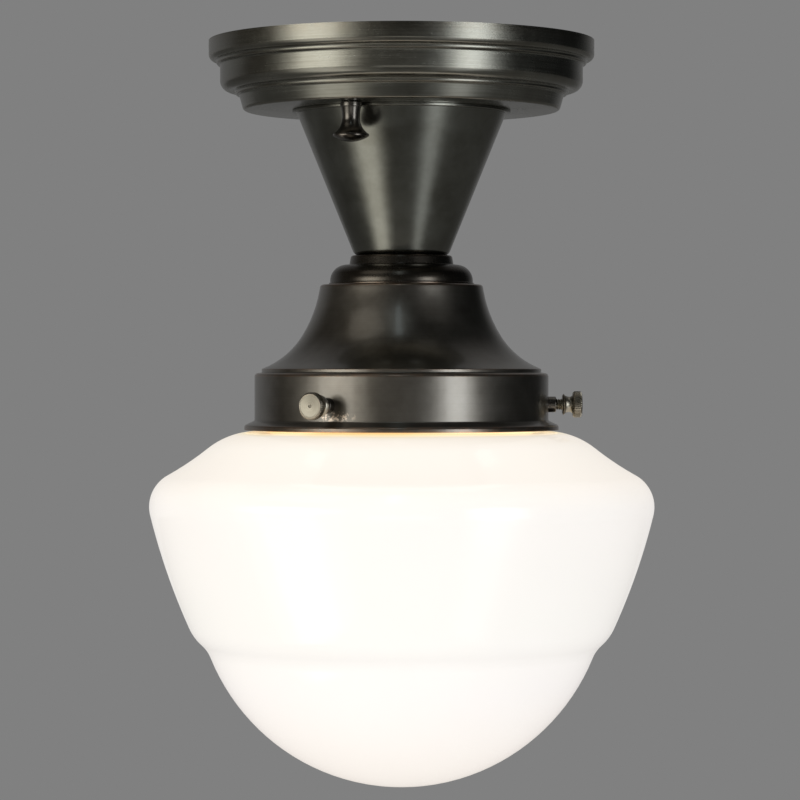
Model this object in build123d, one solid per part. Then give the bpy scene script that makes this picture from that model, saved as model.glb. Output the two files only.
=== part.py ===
# Semi flush ceiling light: a stepped canopy, a cone neck, a bell-shaped shade holder and an opal
# schoolhouse globe that hangs by its lip on three thumbscrews.
# Millimetres. The origin is the centre of the ceiling plane and +Z points up into the ceiling, so
# the light hangs below zero. The two canopy knobs lie on the Y axis.

import os
from math import atan, cos, degrees, hypot, pi, radians, sin, tan

from build123d import *

# ---- clearances ----
thread_gap = 0.05            # radial gap of a screw in its tapped hole
hole_gap = 0.3               # radial gap of a screw or pipe in a plain hole
seat_gap = 0.2               # a movable piece and the face it is tightened against
part_gap = 0.3               # curved faces of pieces that move apart
cut_past = 1.0               # a cut runs this far past the faces that it opens

# ---- sheet and screw sizes ----
sheet = 0.9                  # spun metal of canopy, cone, cap and shade holder
sharp_rounding = 0.4         # edges that read as sharp
screw_radius = 2.083         # 8-32 thread
screw_tip_chamfer = 0.5
screw_head_rounding = 1.0
screw_slot_width = 0.9
screw_slot_depth = 0.9
nut_corner_cut = 0.3         # taken off the corners of a hex
pipe_radius = 5.1            # 1/8 inch lamp pipe
pipe_bore_radius = 3.4
washer_thickness = 0.9
washer_radius = 9.5
pipe_nut_flats = 14.3
pipe_nut_height = 3.6
pipe_chamfer = 0.4
pipe_show = 0.8              # pipe end past its last nut or strap
pipe_spare = 1.0             # and what more of it shows in the canopy

# ---- canopy ----
top_tier_radius = 69.8
top_tier_height = 7.2
top_tier_rounding = 2.3
middle_tier_inset = 4.1      # step in from the tier above
middle_tier_height = 11.0
middle_tier_rounding = 3.6
bottom_tier_inset = 6.9
bottom_tier_height = 6.9
bottom_tier_taper = 1.5
bottom_tier_rounding = 1.2
bead_step = 1.3
bead_height = 1.5
bead_rounding = 0.7

# ---- ceiling bracket ----
strap_thickness = 1.6
strap_width = 19.0
strap_joggle = 4.0           # the middle of the bracket hangs this far below the ceiling
strap_joggle_start = 14.0
strap_joggle_end = 20.0
strap_bend_radius = 2.4
strap_corner_radius = 4.0
box_spacing_small = 69.85    # 2 3/4 in ceiling box
box_spacing_large = 88.9     # 3 1/2 in ceiling box
box_slot_radius = 2.4
strap_end_margin = 4.0
strap_centre_hole_radius = 6.5

# ---- canopy screws and knobs ----
knob_to_cone = 2.8           # knob collar to the band of the cone
canopy_screw_head_radius = 3.9
canopy_screw_head_height = 2.4
canopy_screw_reach = 9.3     # length below the canopy
screw_nut_flats = 8.7
screw_nut_height = 3.2
knob_length = 14.0
knob_collar_radius = 3.8
knob_collar_height = 1.7
knob_collar_lip = 0.4        # collar edge over the waist
knob_collar_slope = 0.2
knob_waist_radius = 3.1
knob_waist_drop = 5.6
knob_flare_radius = 6.3
knob_flare_drop = 11.4
knob_rim_height = 0.7
knob_bore_depth = 11.4

# ---- ground screw ----
ground_offset = 25.0
ground_screw_radius = 2.4
ground_washer_radius = 5.2
ground_washer_height = 0.9
ground_hex_flats = 7.9
ground_hex_height = 3.0
ground_screw_above = 1.6

# ---- cone neck ----
cone_height = 52.5
cone_top_radius = 38.3
cone_bottom_radius = 17.0
cone_bottom_rounding = 2.5
cone_band_step = 1.2
cone_band_height = 1.2

# ---- holder cap: ring and dome ----
cap_height = 10.6
cap_ring_step = 1.3          # ring past the cone's end
cap_ring_flare = 0.6
cap_ring_height = 3.4
cap_ring_rounding = 1.0
cap_ledge = 3.5              # flat of the holder round the dome
cap_dome_rounding = 5.8

# ---- shade holder ----
holder_top_inset = 20.5      # from the bell's foot in to the rim of its top
holder_top_rounding = 1.1
holder_top_side = 2.0
holder_top_flare = 0.35
bell_middle_inset = 13.8
bell_middle_drop = 18.6
bell_foot_drop = 30.2
bell_bead_height = 1.6
bell_bead_slope = 0.4
bell_bead_step = 0.8
bell_bead_rounding = 0.3
skirt_step = 3.4             # from the bell's foot out to the skirt
skirt_slope = 2.0
skirt_height = 17.0
skirt_rounding = 1.4
lip_height = 3.4
lip_slope = 1.8
lip_overhang = 3.7
lip_rounding = 1.1
groove_rounding = 0.7

# ---- thumbscrews ----
thumbscrew_above_lip = 5.8   # axis to the groove of the holder's lip
thumbscrew_first_angle = -96.5
thumbscrew_count = 3
boss_radius = 2.85
boss_height = 2.8
boss_neck_radius = 2.5
boss_root = 0.5              # collar stock inside the skirt's face, before it is trimmed to it
screw_show = 2.3             # bare thread between boss and collar
screw_tip_gap = 0.3          # tip to globe neck
collar_radius = 3.9
collar_height = 1.0
collar_edge = 0.6            # collar rim over the flat of its back
stem_radius = 2.75
stem_height = 2.8
stem_foot = 0.5              # stem's flare at the collar
head_radius = 4.8
head_back = 1.2              # head rim over the end of the stem
head_height = 3.3
head_bevel = 0.5
head_dimple_radius = 0.5
knurl_teeth = 48
knurl_depth = 0.3

# ---- glass globe ----
glass_wall = 3.0
globe_neck_inset = 43.2      # neck in from the side's largest radius
globe_lip_step = 2.8
globe_lip_height = 3.0
globe_lip_rounding = 1.2
globe_lip_room = 1.6         # lip to the inside of the skirt
globe_to_holder = 0.5        # crown below the holder's lip
globe_throat = 3.3           # width and height of the round between crown and neck
globe_side_radius = 91.2
globe_shoulder_inset = 21.0  # the insets run from the side's largest radius
globe_shoulder_drop = 6.2    # the drops run from the crown
globe_brow_inset = 6.3
globe_brow_drop = 16.0
globe_side_drop = 30.4
globe_step_inset = 14.0
globe_step_drop = 71.1
globe_ledge_inset = 18.3
globe_ledge_drop = 77.0
globe_bowl_inset = 21.8
globe_bowl_drop = 82.0
globe_bowl_fullness = 0.6744 # the bowl's depth over its radius

# ---- lampholder ----
lamp_strap_side = 1.25       # strap metal beside the pipe
lamp_strap_foot = 8.5
lamp_strap_height = 16.4
lamp_strap_bend = 2.0
porcelain_height = 44.0
porcelain_base = 9.0
porcelain_top_radius = 17.5
porcelain_mouth_radius = 20.5
porcelain_mouth_height = 11.0
porcelain_mouth_bore = 17.0
porcelain_rounding = 1.5
porcelain_mouth_rounding = 1.0
lamp_screw_radius = 1.6
lamp_screw_inset = 1.85      # screw axis in from the bore of the shell
lamp_screw_head_radius = 2.7
lamp_screw_head_height = 2.2
lamp_screw_head_room = 0.2   # screw head to the side of the strap
lamp_screw_end = 1.2         # screw end below the shell's top
shell_room = 0.35            # bulb thread to the shell
shell_wall = 0.4
shell_length = 22.0
shell_window_radius = 10.0
contact_width = 6.0
contact_length = 12.0
contact_thickness = 0.5
contact_edge = 0.4           # contact strip past the lead's hole
contact_tongue_drop = 1.6
contact_tongue_rounding = 0.8
rivet_radius = 1.5
rivet_head_radius = 2.8
rivet_head_height = 1.0
rivet_end = 1.0              # rivet end below the contact strip

# ---- bulb (A19, medium screw base) ----
bulb_length = 104.5
bulb_radius = 30.15
bulb_shoulder_angle = 35.0
bulb_neck_radius = 13.4
bulb_neck_drop = 32.0        # base contact to glass neck
bulb_wall = 0.8
base_radius = 13.0
base_thread_depth = 0.7
base_wall = 0.9
base_foot_roll = 0.3
base_crown = 2.0             # how far the insulator stands inside the base's bore
base_thread_pitch = 3.63
base_thread_turns = 5
base_top_drop = 4.0
insulator_height = 3.0       # bulb tip to the rim of the insulator
tip_radius = 4.6
tip_flat = 1.0               # tip radius lost to its round edge
tip_foot = 0.6
tip_rounding = 0.8
tip_height = 1.4
stem_rod_radius = 2.6
stem_rod_taper = 1.0
stem_flare_rounding = 12.0
stem_end_rounding = 1.0
stem_hollow_depth = 9.0
stem_waist_drop = 42.0
stem_end_drop = 56.0
filament_radius = 12.0
filament_wire = 0.35
filament_drop = 66.0
filament_start_angle = 200.0
filament_span = 140.0
support_wire = 0.4

# ---- leads and connectors ----
lead_radius = 1.1
lead_offset = 1.4
live_hole_offset = 7.0
neutral_hole_offset = 11.5
lead_turn_height = 10.5      # ceiling to the level of the leads in the canopy
lead_reach = 30.0            # pipe axis to the lead's end in the canopy
lead_spread = 4.2            # sideways step of a lead on the first half of its reach
lead_end_spread = 2.8        # and on the second half
lead_drop = 3.0              # straight below the pipe
lead_rise = 4.0              # straight above the porcelain
lead_end = 8.0               # length of a lead inside the porcelain
ground_lead_back = 4.0       # lead end past the ground screw
ground_lead_start = 10.0     # from the ground screw to the lead's first turn
ground_lead_bend = 20.0      # and to its second
connector_length = 20.0
connector_mouth_radius = 5.2
connector_tip_radius = 3.0
connector_wall = 1.0
connector_flare = 3.0        # depth of the open mouth
connector_grip = 8.0         # length of lead inside a connector
connector_rim = 2.0          # plain rim below the ribs
connector_ribs = 12
rib_depth = 0.8

# ---- radii that follow ----
middle_tier_radius = top_tier_radius - middle_tier_inset
bottom_tier_radius = middle_tier_radius - bottom_tier_inset
cone_band_radius = cone_top_radius + cone_band_step
knob_offset = cone_band_radius + knob_to_cone + knob_collar_radius
globe_neck_radius = globe_side_radius - globe_neck_inset
globe_lip_radius = globe_neck_radius + globe_lip_step
globe_bowl_radius = globe_side_radius - globe_bowl_inset
globe_depth = globe_bowl_drop + globe_bowl_fullness * globe_bowl_radius
skirt_radius = globe_lip_radius + globe_lip_room + sheet
lip_radius = skirt_radius + lip_overhang
bell_foot_radius = skirt_radius - skirt_step
bell_middle_radius = bell_foot_radius - bell_middle_inset
holder_top_radius = bell_foot_radius - holder_top_inset
cap_dome_radius = holder_top_radius - cap_ledge
cap_ring_radius = cone_bottom_radius + cap_ring_step
base_root_radius = base_radius - base_thread_depth
base_bore_radius = base_root_radius - base_wall
shell_bore_radius = base_radius + shell_room
lamp_screw_offset = shell_bore_radius - lamp_screw_inset
lamp_head_reach = lamp_screw_offset + lamp_screw_head_radius + lamp_screw_head_room
lamp_strap_half_length = lamp_head_reach + strap_thickness
lamp_strap_width = 2 * (pipe_radius + lamp_strap_side)

# ---- levels, from the ceiling down ----
canopy_depth = top_tier_height + middle_tier_height + bottom_tier_height
canopy_z = -canopy_depth
cone_z = canopy_z - cone_height
cap_z = cone_z - cap_height
bracket_z = -strap_joggle - strap_thickness
bead_z = cap_z - bell_foot_drop
skirt_z = bead_z - skirt_slope
lip_z = skirt_z - skirt_height
lip_low_z = lip_z - lip_height
thumbscrew_z = lip_z + thumbscrew_above_lip
globe_lip_z = thumbscrew_z + screw_radius + part_gap
globe_z = lip_low_z - globe_to_holder
globe_neck_height = globe_lip_z - globe_z
pipe_nut_z = cap_z - sheet - washer_thickness - pipe_nut_height
pipe_top_z = canopy_z + sheet + washer_thickness + pipe_nut_height + pipe_show + pipe_spare
pipe_bottom_z = pipe_nut_z - strap_thickness - pipe_show
porcelain_z = pipe_nut_z - lamp_strap_height
socket_z = porcelain_z - porcelain_base
lead_turn_z = -lead_turn_height
bulb_z = socket_z - contact_thickness - contact_tongue_drop - seat_gap


# ---- shapes ----
def rounded(corners, close=False):
    """Line through corners of radius, height and rounding; a rounding shrinks to fit its runs."""
    full_share = 0.98  # of a run, for the roundings at its two ends
    points = [Vector(radius, height) for radius, height, rounding in corners]
    count = len(points)
    runs = [points[(i + 1) % count] - points[i] for i in range(count)]
    setbacks = []
    for i in range(count):
        turn = radians(runs[i - 1].get_angle(runs[i]))
        setbacks.append(corners[i][2] * tan(turn / 2))
    if not close:
        setbacks[0] = setbacks[-1] = 0
    shares = [
        min(1.0, full_share * runs[i].length / max(setbacks[i] + setbacks[(i + 1) % count], 1e-9))
        for i in range(count)
    ]
    roundings = [corners[i][2] * min(shares[i - 1], shares[i]) for i in range(count)]
    if not close:
        roundings = roundings[1:-1]
    return FilletPolyline(*points, radius=roundings, close=close)


def turned(corners):
    """Solid of revolution about Z; each corner is radius, height and rounding."""
    return revolve(Plane.XZ * make_face(rounded(corners, close=True)), Axis.Z)


def spun(outline, wall, side):
    """Sheet of one thickness, spun about Z from the line of its outer face."""
    section = outline.offset_2d(wall, kind=Kind.INTERSECTION, side=side, closed=True)
    return revolve(Plane.XZ * Face(section), Axis.Z)


def rod(radius, low, high, x=0.0, y=0.0):
    """Upright cylinder between two heights."""
    return Pos(x, y, (low + high) / 2) * Cylinder(radius, high - low)


def tube(radius, bore, low, high, x=0.0, y=0.0):
    """Upright tube between two heights."""
    return rod(radius, low, high, x, y) - rod(bore, low - cut_past, high + cut_past, x, y)


def hex_nut(flats, bore, low, high, x=0.0, y=0.0):
    """Six-sided nut with corners taken off, between two heights."""
    blank = extrude(Pos(x, y, low) * RegularPolygon(flats / 2, 6, major_radius=False), high - low)
    corner_radius = flats / 2 / cos(radians(30))
    nut = blank & rod(corner_radius - nut_corner_cut, low, high, x, y)
    if bore:
        nut -= rod(bore, low - cut_past, high + cut_past, x, y)
    return nut


def screw_slot(head_radius, top):
    """Driver slot cut down from the top of a screw head."""
    return Pos(0, 0, top) * Box(2 * head_radius, screw_slot_width, 2 * screw_slot_depth)


def lead(points, radii):
    """Insulated wire along straight runs joined by tangent arcs."""
    path = FilletPolyline(*points, radius=radii)
    start = Plane(origin=path @ 0, z_dir=path % 0)
    wire = sweep(start * Circle(lead_radius), path=path)
    bends = [round(edge.radius, 1) for edge in path.edges() if edge.geom_type == GeomType.CIRCLE]
    fill = wire.volume / (pi * lead_radius**2 * path.length)
    print(f"lead: length {path.length:.1f}, bend radii {bends}, volume over section by length {fill:.4f}")
    return wire


def bend_radius(before, corner, after, room):
    """Largest arc at a corner: it takes most of half the shorter run, or the room that there is."""
    run_share = 0.45
    run_in = Vector(*corner) - Vector(*before)
    run_out = Vector(*after) - Vector(*corner)
    turn = radians(run_in.get_angle(run_out))
    setback = min(run_share * min(run_in.length, run_out.length), room)
    return setback / tan(turn / 2)


# ---- canopy ----
def make_canopy():
    """Stepped pan: three tiers with a small bead under each ledge."""
    ledge_1 = -top_tier_height
    ledge_2 = ledge_1 - middle_tier_height
    bottom_low_radius = bottom_tier_radius - bottom_tier_taper
    outer = turned(
        [
            (0, 0, 0),
            (0, canopy_z, 0),
            (bottom_low_radius, canopy_z, bottom_tier_rounding),
            (bottom_tier_radius, ledge_2 - bead_height, bead_rounding),
            (bottom_tier_radius + bead_step, ledge_2 - bead_height, bead_rounding),
            (bottom_tier_radius + bead_step, ledge_2, bead_rounding),
            (middle_tier_radius, ledge_2, middle_tier_rounding),
            (middle_tier_radius, ledge_1 - bead_height, bead_rounding),
            (middle_tier_radius + bead_step, ledge_1 - bead_height, bead_rounding),
            (middle_tier_radius + bead_step, ledge_1, bead_rounding),
            (top_tier_radius, ledge_1, top_tier_rounding),
            (top_tier_radius, 0, 0),
        ]
    )
    hollow = turned(
        [
            (0, 1, 0),
            (0, canopy_z + sheet, 0),
            (bottom_low_radius - sheet, canopy_z + sheet, bottom_tier_rounding),
            (bottom_tier_radius - sheet, ledge_2 + sheet, bead_rounding),
            (middle_tier_radius - sheet, ledge_2 + sheet, middle_tier_rounding - sheet),
            (middle_tier_radius - sheet, ledge_1 + sheet, bead_rounding),
            (top_tier_radius - sheet, ledge_1 + sheet, top_tier_rounding - sheet),
            (top_tier_radius - sheet, 1, 0),
        ]
    )
    pan = outer - hollow
    pan -= rod(pipe_radius + hole_gap, canopy_z - cut_past, canopy_z + sheet + cut_past)
    low = canopy_z - cut_past
    high = canopy_z + sheet + cut_past
    for side in (-1, 1):
        pan -= rod(screw_radius + hole_gap, low, high, y=side * knob_offset)
    return pan


# ---- ceiling bracket ----
def make_mounting_bracket():
    """Cross strap: slotted arms flat on the ceiling along X, screw arms hung lower along Y."""
    x_reach = box_spacing_large / 2 + box_slot_radius + strap_end_margin
    y_reach = knob_offset + screw_radius + strap_end_margin
    top_line = FilletPolyline(
        (-x_reach, 0),
        (-strap_joggle_end, 0),
        (-strap_joggle_start, -strap_joggle),
        (strap_joggle_start, -strap_joggle),
        (strap_joggle_end, 0),
        (x_reach, 0),
        radius=[strap_bend_radius + strap_thickness] * 4,
    )
    section = Wire(top_line.edges()).offset_2d(strap_thickness, side=Side.RIGHT, closed=True)
    slotted = extrude(Plane.XZ * Face(section), strap_width / 2, both=True)
    crossing = Pos(0, 0, bracket_z + strap_thickness / 2) * Box(strap_width, 2 * y_reach, strap_thickness)
    bracket = slotted + crossing
    ends = bracket.edges().filter_by(Axis.Z).filter_by(
        lambda edge: hypot(edge.center().X, edge.center().Y) > min(x_reach, y_reach)
    )
    bracket = fillet(ends, strap_corner_radius)
    slot_travel = (box_spacing_large - box_spacing_small) / 2
    slot_centre = (box_spacing_large + box_spacing_small) / 4
    slot = SlotCenterToCenter(slot_travel, 2 * box_slot_radius)
    for side in (-1, 1):
        slot_place = Pos(side * slot_centre, 0, -strap_thickness - cut_past)
        bracket -= extrude(slot_place * slot, strap_thickness + 2 * cut_past)
        bracket -= rod(screw_radius + thread_gap, bracket_z - cut_past, 0, y=side * knob_offset)
    bracket -= rod(strap_centre_hole_radius, bracket_z - cut_past, 0)
    bracket -= rod(ground_screw_radius + thread_gap, bracket_z - cut_past, 0, y=ground_offset)
    return bracket


def make_canopy_screws():
    """Pan head screws hanging from the bracket, one for each knob."""
    head_low = -strap_joggle
    screws = []
    for side in (-1, 1):
        head = rod(canopy_screw_head_radius, head_low, head_low + canopy_screw_head_height)
        head = fillet(head.edges().group_by(Axis.Z)[-1], screw_head_rounding)
        head -= screw_slot(canopy_screw_head_radius, head_low + canopy_screw_head_height)
        shank = rod(screw_radius, canopy_z - canopy_screw_reach, head_low)
        shank = chamfer(shank.edges().group_by(Axis.Z)[0], screw_tip_chamfer)
        screws.append(Pos(0, side * knob_offset, 0) * (head + shank))
    return Compound(screws)


def make_canopy_screw_nuts():
    """Hex nuts that lock the canopy screws to the bracket."""
    low = bracket_z - screw_nut_height
    nut = hex_nut(screw_nut_flats, screw_radius + thread_gap, low, bracket_z)
    return Compound([Pos(0, side * knob_offset, 0) * nut for side in (-1, 1)])


def make_ground_screw():
    """Green hex washer-head screw under the bracket, a lead's thickness below it."""
    head_top = bracket_z - 2 * lead_radius
    shank = rod(ground_screw_radius, head_top, bracket_z + strap_thickness + ground_screw_above)
    washer = rod(ground_washer_radius, head_top - ground_washer_height, head_top)
    hexagon_low = head_top - ground_washer_height - ground_hex_height
    hexagon = hex_nut(ground_hex_flats, 0, hexagon_low, head_top - ground_washer_height)
    return Pos(0, ground_offset, 0) * (shank + washer + hexagon)


def make_canopy_knob(side):
    """Waisted blind thumb nut that holds the canopy up on its screw."""
    top = canopy_z - seat_gap
    with BuildLine() as side_line:
        collar = FilletPolyline(
            (0, top),
            (knob_collar_radius, top),
            (knob_collar_radius, top - knob_collar_height),
            (knob_waist_radius + knob_collar_lip, top - knob_collar_height - knob_collar_slope),
            radius=[sharp_rounding, sharp_rounding],
        )
        waist = TangentArc((knob_waist_radius, top - knob_waist_drop), collar @ 1, tangent=(0, 1))
        flare = TangentArc(waist @ 0, (knob_flare_radius, top - knob_flare_drop), tangent=(0, -1))
        rim = Line(flare @ 1, (knob_flare_radius, top - knob_flare_drop - knob_rim_height))
        dome = TangentArc((0, top - knob_length), rim @ 1, tangent=(1, 0))
        Line(dome @ 0, (0, top))
    knob = revolve(Plane.XZ * make_face(side_line.line), Axis.Z)
    knob -= rod(screw_radius + thread_gap, top - knob_bore_depth, top + cut_past)
    return Pos(0, side * knob_offset, 0) * knob


# ---- cone, cap and shade holder ----
def make_cone_neck():
    """Spun cone, open at the canopy, with a band round its top edge."""
    band_root = cone_top_radius - 2 * sheet
    band_bore = cone_top_radius - 1.5 * sheet
    band_z = canopy_z - cone_band_height
    cone = turned(
        [
            (0, canopy_z, 0),
            (0, cone_z, 0),
            (cone_bottom_radius, cone_z, cone_bottom_rounding),
            (cone_top_radius, canopy_z, 0),
        ]
    )
    hollow = turned(
        [
            (0, canopy_z + cut_past, 0),
            (0, cone_z + sheet, 0),
            (cone_bottom_radius - sheet / 2, cone_z + sheet, cone_bottom_rounding - sheet),
            (cone_top_radius - sheet, canopy_z, 0),
            (cone_top_radius - sheet, canopy_z + cut_past, 0),
        ]
    )
    band = turned(
        [
            (band_root, canopy_z, 0),
            (band_root, band_z, 0),
            (cone_band_radius, band_z, sharp_rounding),
            (cone_band_radius, canopy_z, 0),
        ]
    )
    band -= turned(
        [
            (0, canopy_z + cut_past, 0),
            (0, band_z - cut_past, 0),
            (band_bore, band_z - cut_past, 0),
            (band_bore, canopy_z + cut_past, 0),
        ]
    )
    return cone - hollow + band - rod(pipe_radius + hole_gap, cone_z - cut_past, cone_z + sheet + cut_past)


def make_holder_cap():
    """Flared ring over a quarter-round dome, between the cone and the shade holder."""
    ring_low = cone_z - cap_ring_height
    outline = rounded(
        [
            (pipe_radius + hole_gap, cone_z, 0),
            (cap_ring_radius, cone_z, cap_ring_rounding),
            (cap_ring_radius + cap_ring_flare, ring_low, sharp_rounding),
            (cap_dome_radius, ring_low, cap_dome_rounding),
            (cap_dome_radius, cap_z, 0),
        ]
    )
    return spun(Wire(outline.edges()), sheet, Side.RIGHT)


def make_shade_holder():
    """Spun bell with a flat top, a bead, a straight skirt and a rolled lip."""
    with BuildLine() as outer_line:
        top = FilletPolyline(
            (pipe_radius + hole_gap, cap_z),
            (holder_top_radius, cap_z),
            (holder_top_radius + holder_top_flare, cap_z - holder_top_side),
            radius=[holder_top_rounding],
        )
        upper = TangentArc(top @ 1, (bell_middle_radius, cap_z - bell_middle_drop), tangent=top % 1)
        TangentArc(upper @ 1, (bell_foot_radius, bead_z), tangent=upper % 1)
        rounded(
            [
                (bell_foot_radius, bead_z, 0),
                (bell_foot_radius + bell_bead_step, bead_z - bell_bead_slope, bell_bead_rounding),
                (bell_foot_radius + bell_bead_step, bead_z - bell_bead_height, bell_bead_rounding),
                (skirt_radius, skirt_z, skirt_rounding),
                (skirt_radius, lip_z, groove_rounding),
                (lip_radius, lip_z - lip_slope, lip_rounding),
                (lip_radius, lip_low_z, 0),
            ]
        )
    holder = spun(outer_line.wires()[0], sheet, Side.RIGHT)
    for angle in thumbscrew_angles():
        hole = Pos(skirt_radius, 0, thumbscrew_z) * Rot(0, 90, 0) * Cylinder(boss_neck_radius, 4 * sheet)
        holder -= Rot(0, 0, angle) * hole
    return holder


def thumbscrew_angles():
    """Directions of the thumbscrews about Z."""
    return [thumbscrew_first_angle + 360 / thumbscrew_count * i for i in range(thumbscrew_count)]


def outward(radius, start, end):
    """Cylinder along +X at the thumbscrew level, between two distances from the axis."""
    return Pos((start + end) / 2, 0, thumbscrew_z) * Rot(0, 90, 0) * Cylinder(radius, end - start)


def make_thumbscrew_bosses():
    """Press nuts that carry the thumbscrews in the skirt."""
    bosses = []
    for angle in thumbscrew_angles():
        collar = outward(boss_radius, skirt_radius - boss_root, skirt_radius + boss_height)
        collar -= rod(skirt_radius, thumbscrew_z - 2 * boss_radius, thumbscrew_z + 2 * boss_radius)
        neck = outward(boss_neck_radius, skirt_radius - sheet, skirt_radius + boss_height)
        boss = collar + neck - outward(screw_radius + thread_gap, 0, 2 * skirt_radius)
        bosses.append(Rot(0, 0, angle) * boss)
    return Compound(bosses)


def make_thumbscrew(angle):
    """Screw with a sharp collar, a waisted stem and a knurled head."""
    tip = globe_neck_radius + screw_tip_gap
    collar_start = skirt_radius + boss_height + screw_show
    stem_start = collar_start + collar_height
    head_start = stem_start + stem_height
    face = head_start + head_height
    root = head_radius - knurl_depth
    with BuildLine() as side_line:
        shank = Polyline(
            (0, tip),
            (screw_radius - screw_tip_chamfer, tip),
            (screw_radius, tip + screw_tip_chamfer),
            (screw_radius, collar_start),
            (collar_radius - collar_edge, collar_start),
            (collar_radius, collar_start + collar_height / 2),
            (stem_radius + stem_foot, stem_start),
        )
        waist = (stem_radius, stem_start + stem_height / 2)
        stem = ThreePointArc(shank @ 1, waist, (head_radius - head_back, head_start))
        Polyline(
            stem @ 1,
            (head_radius - head_back, head_start + head_bevel),
            (0, head_start + head_bevel),
            (0, tip),
        )
    body = revolve(Plane.XZ * make_face(side_line.line), Axis.Z)
    teeth = []
    for i in range(2 * knurl_teeth):
        turn = radians(180 / knurl_teeth * i)
        reach = root if i % 2 else head_radius
        teeth.append((reach * cos(turn), reach * sin(turn)))
    grip = extrude(Pos(0, 0, head_start) * make_face(Polyline(*teeth, close=True)), head_height)
    bevel = turned(
        [
            (0, head_start, 0),
            (head_radius - head_bevel, head_start, 0),
            (head_radius, head_start + head_bevel, 0),
            (head_radius, face - head_bevel, 0),
            (head_radius - head_bevel, face, 0),
            (0, face, 0),
        ]
    )
    dimple = turned(
        [
            (0, face - head_dimple_radius, 0),
            (2 * head_dimple_radius, face + head_dimple_radius, 0),
            (0, face + head_dimple_radius, 0),
        ]
    )
    screw = body + (grip & bevel) - dimple
    return Rot(0, 0, angle) * Pos(0, 0, thumbscrew_z) * Rot(0, 90, 0) * screw


# ---- glass globe ----
def make_glass_globe():
    """Blown opal glass: lipped neck, sloping shoulder, tapered side, step and round bowl."""
    bowl = (globe_bowl_radius, -globe_bowl_drop)
    ledge = (globe_side_radius - globe_ledge_inset, -globe_ledge_drop)
    step = (globe_side_radius - globe_step_inset, -globe_step_drop)
    side = (globe_side_radius, -globe_side_drop)
    brow = (globe_side_radius - globe_brow_inset, -globe_brow_drop)
    shoulder = (globe_side_radius - globe_shoulder_inset, -globe_shoulder_drop)
    crown = (globe_neck_radius + globe_throat, 0)
    throat = (globe_neck_radius, globe_throat)
    with BuildLine() as outer_line:
        arc = TangentArc((0, -globe_depth), bowl, tangent=(1, 0))
        for point in (ledge, step, side, brow, shoulder, crown, throat):
            arc = TangentArc(arc @ 1, point, tangent=arc % 1)
        Line(arc @ 1, (globe_neck_radius, globe_neck_height + globe_lip_height))
    shell = spun(outer_line.wires()[0], glass_wall, Side.LEFT)
    lip = turned(
        [
            (globe_neck_radius - glass_wall / 2, globe_neck_height, 0),
            (globe_lip_radius, globe_neck_height, globe_lip_rounding),
            (globe_lip_radius, globe_neck_height + globe_lip_height, globe_lip_rounding),
            (globe_neck_radius - glass_wall / 2, globe_neck_height + globe_lip_height, 0),
        ]
    )
    return Pos(0, 0, globe_z) * (shell + lip)


# ---- pipe, nuts and washers ----
def make_threaded_pipe():
    """Hollow threaded pipe through canopy, cone, cap and holder."""
    pipe = tube(pipe_radius, pipe_bore_radius, pipe_bottom_z, pipe_top_z)
    ends = pipe.edges().group_by(Axis.Z)
    return chamfer(ends[0] + ends[-1], pipe_chamfer)


def pipe_washer(low):
    """Plain washer on the pipe."""
    return tube(washer_radius, pipe_radius + thread_gap, low, low + washer_thickness)


def pipe_nut(low):
    """Hex nut on the pipe."""
    return hex_nut(pipe_nut_flats, pipe_radius + thread_gap, low, low + pipe_nut_height)


# ---- lampholder ----
def make_lampholder_strap():
    """U-shaped strap threaded on the pipe, with feet turned in over the porcelain."""
    half = lamp_strap_half_length
    low = porcelain_z
    outer = FilletPolyline(
        (-half + lamp_strap_foot, low),
        (-half, low),
        (-half, pipe_nut_z),
        (half, pipe_nut_z),
        (half, low),
        (half - lamp_strap_foot, low),
        radius=[lamp_strap_bend] * 4,
    )
    section = Wire(outer.edges()).offset_2d(strap_thickness, side=Side.RIGHT, closed=True)
    strap = extrude(Plane.XZ * Face(section), lamp_strap_width / 2, both=True)
    strap -= rod(pipe_radius + thread_gap, pipe_nut_z - strap_thickness - cut_past, pipe_nut_z + cut_past)
    hole = rod(lamp_screw_radius + thread_gap, low - cut_past, low + strap_thickness + cut_past)
    for side in (-1, 1):
        strap -= Pos(side * lamp_screw_offset, 0, 0) * hole
    return strap


def make_lampholder_screws():
    """Round head screws that clamp strap, porcelain and screw shell together."""
    foot_top = porcelain_z + strap_thickness
    screws = []
    for side in (-1, 1):
        head = rod(lamp_screw_head_radius, foot_top, foot_top + lamp_screw_head_height)
        head = fillet(head.edges().group_by(Axis.Z)[-1], screw_head_rounding)
        head -= screw_slot(lamp_screw_head_radius, foot_top + lamp_screw_head_height)
        shank = rod(lamp_screw_radius, socket_z - shell_wall - lamp_screw_end, foot_top)
        screws.append(Pos(side * lamp_screw_offset, 0, 0) * (head + shank))
    return Compound(screws)


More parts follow.
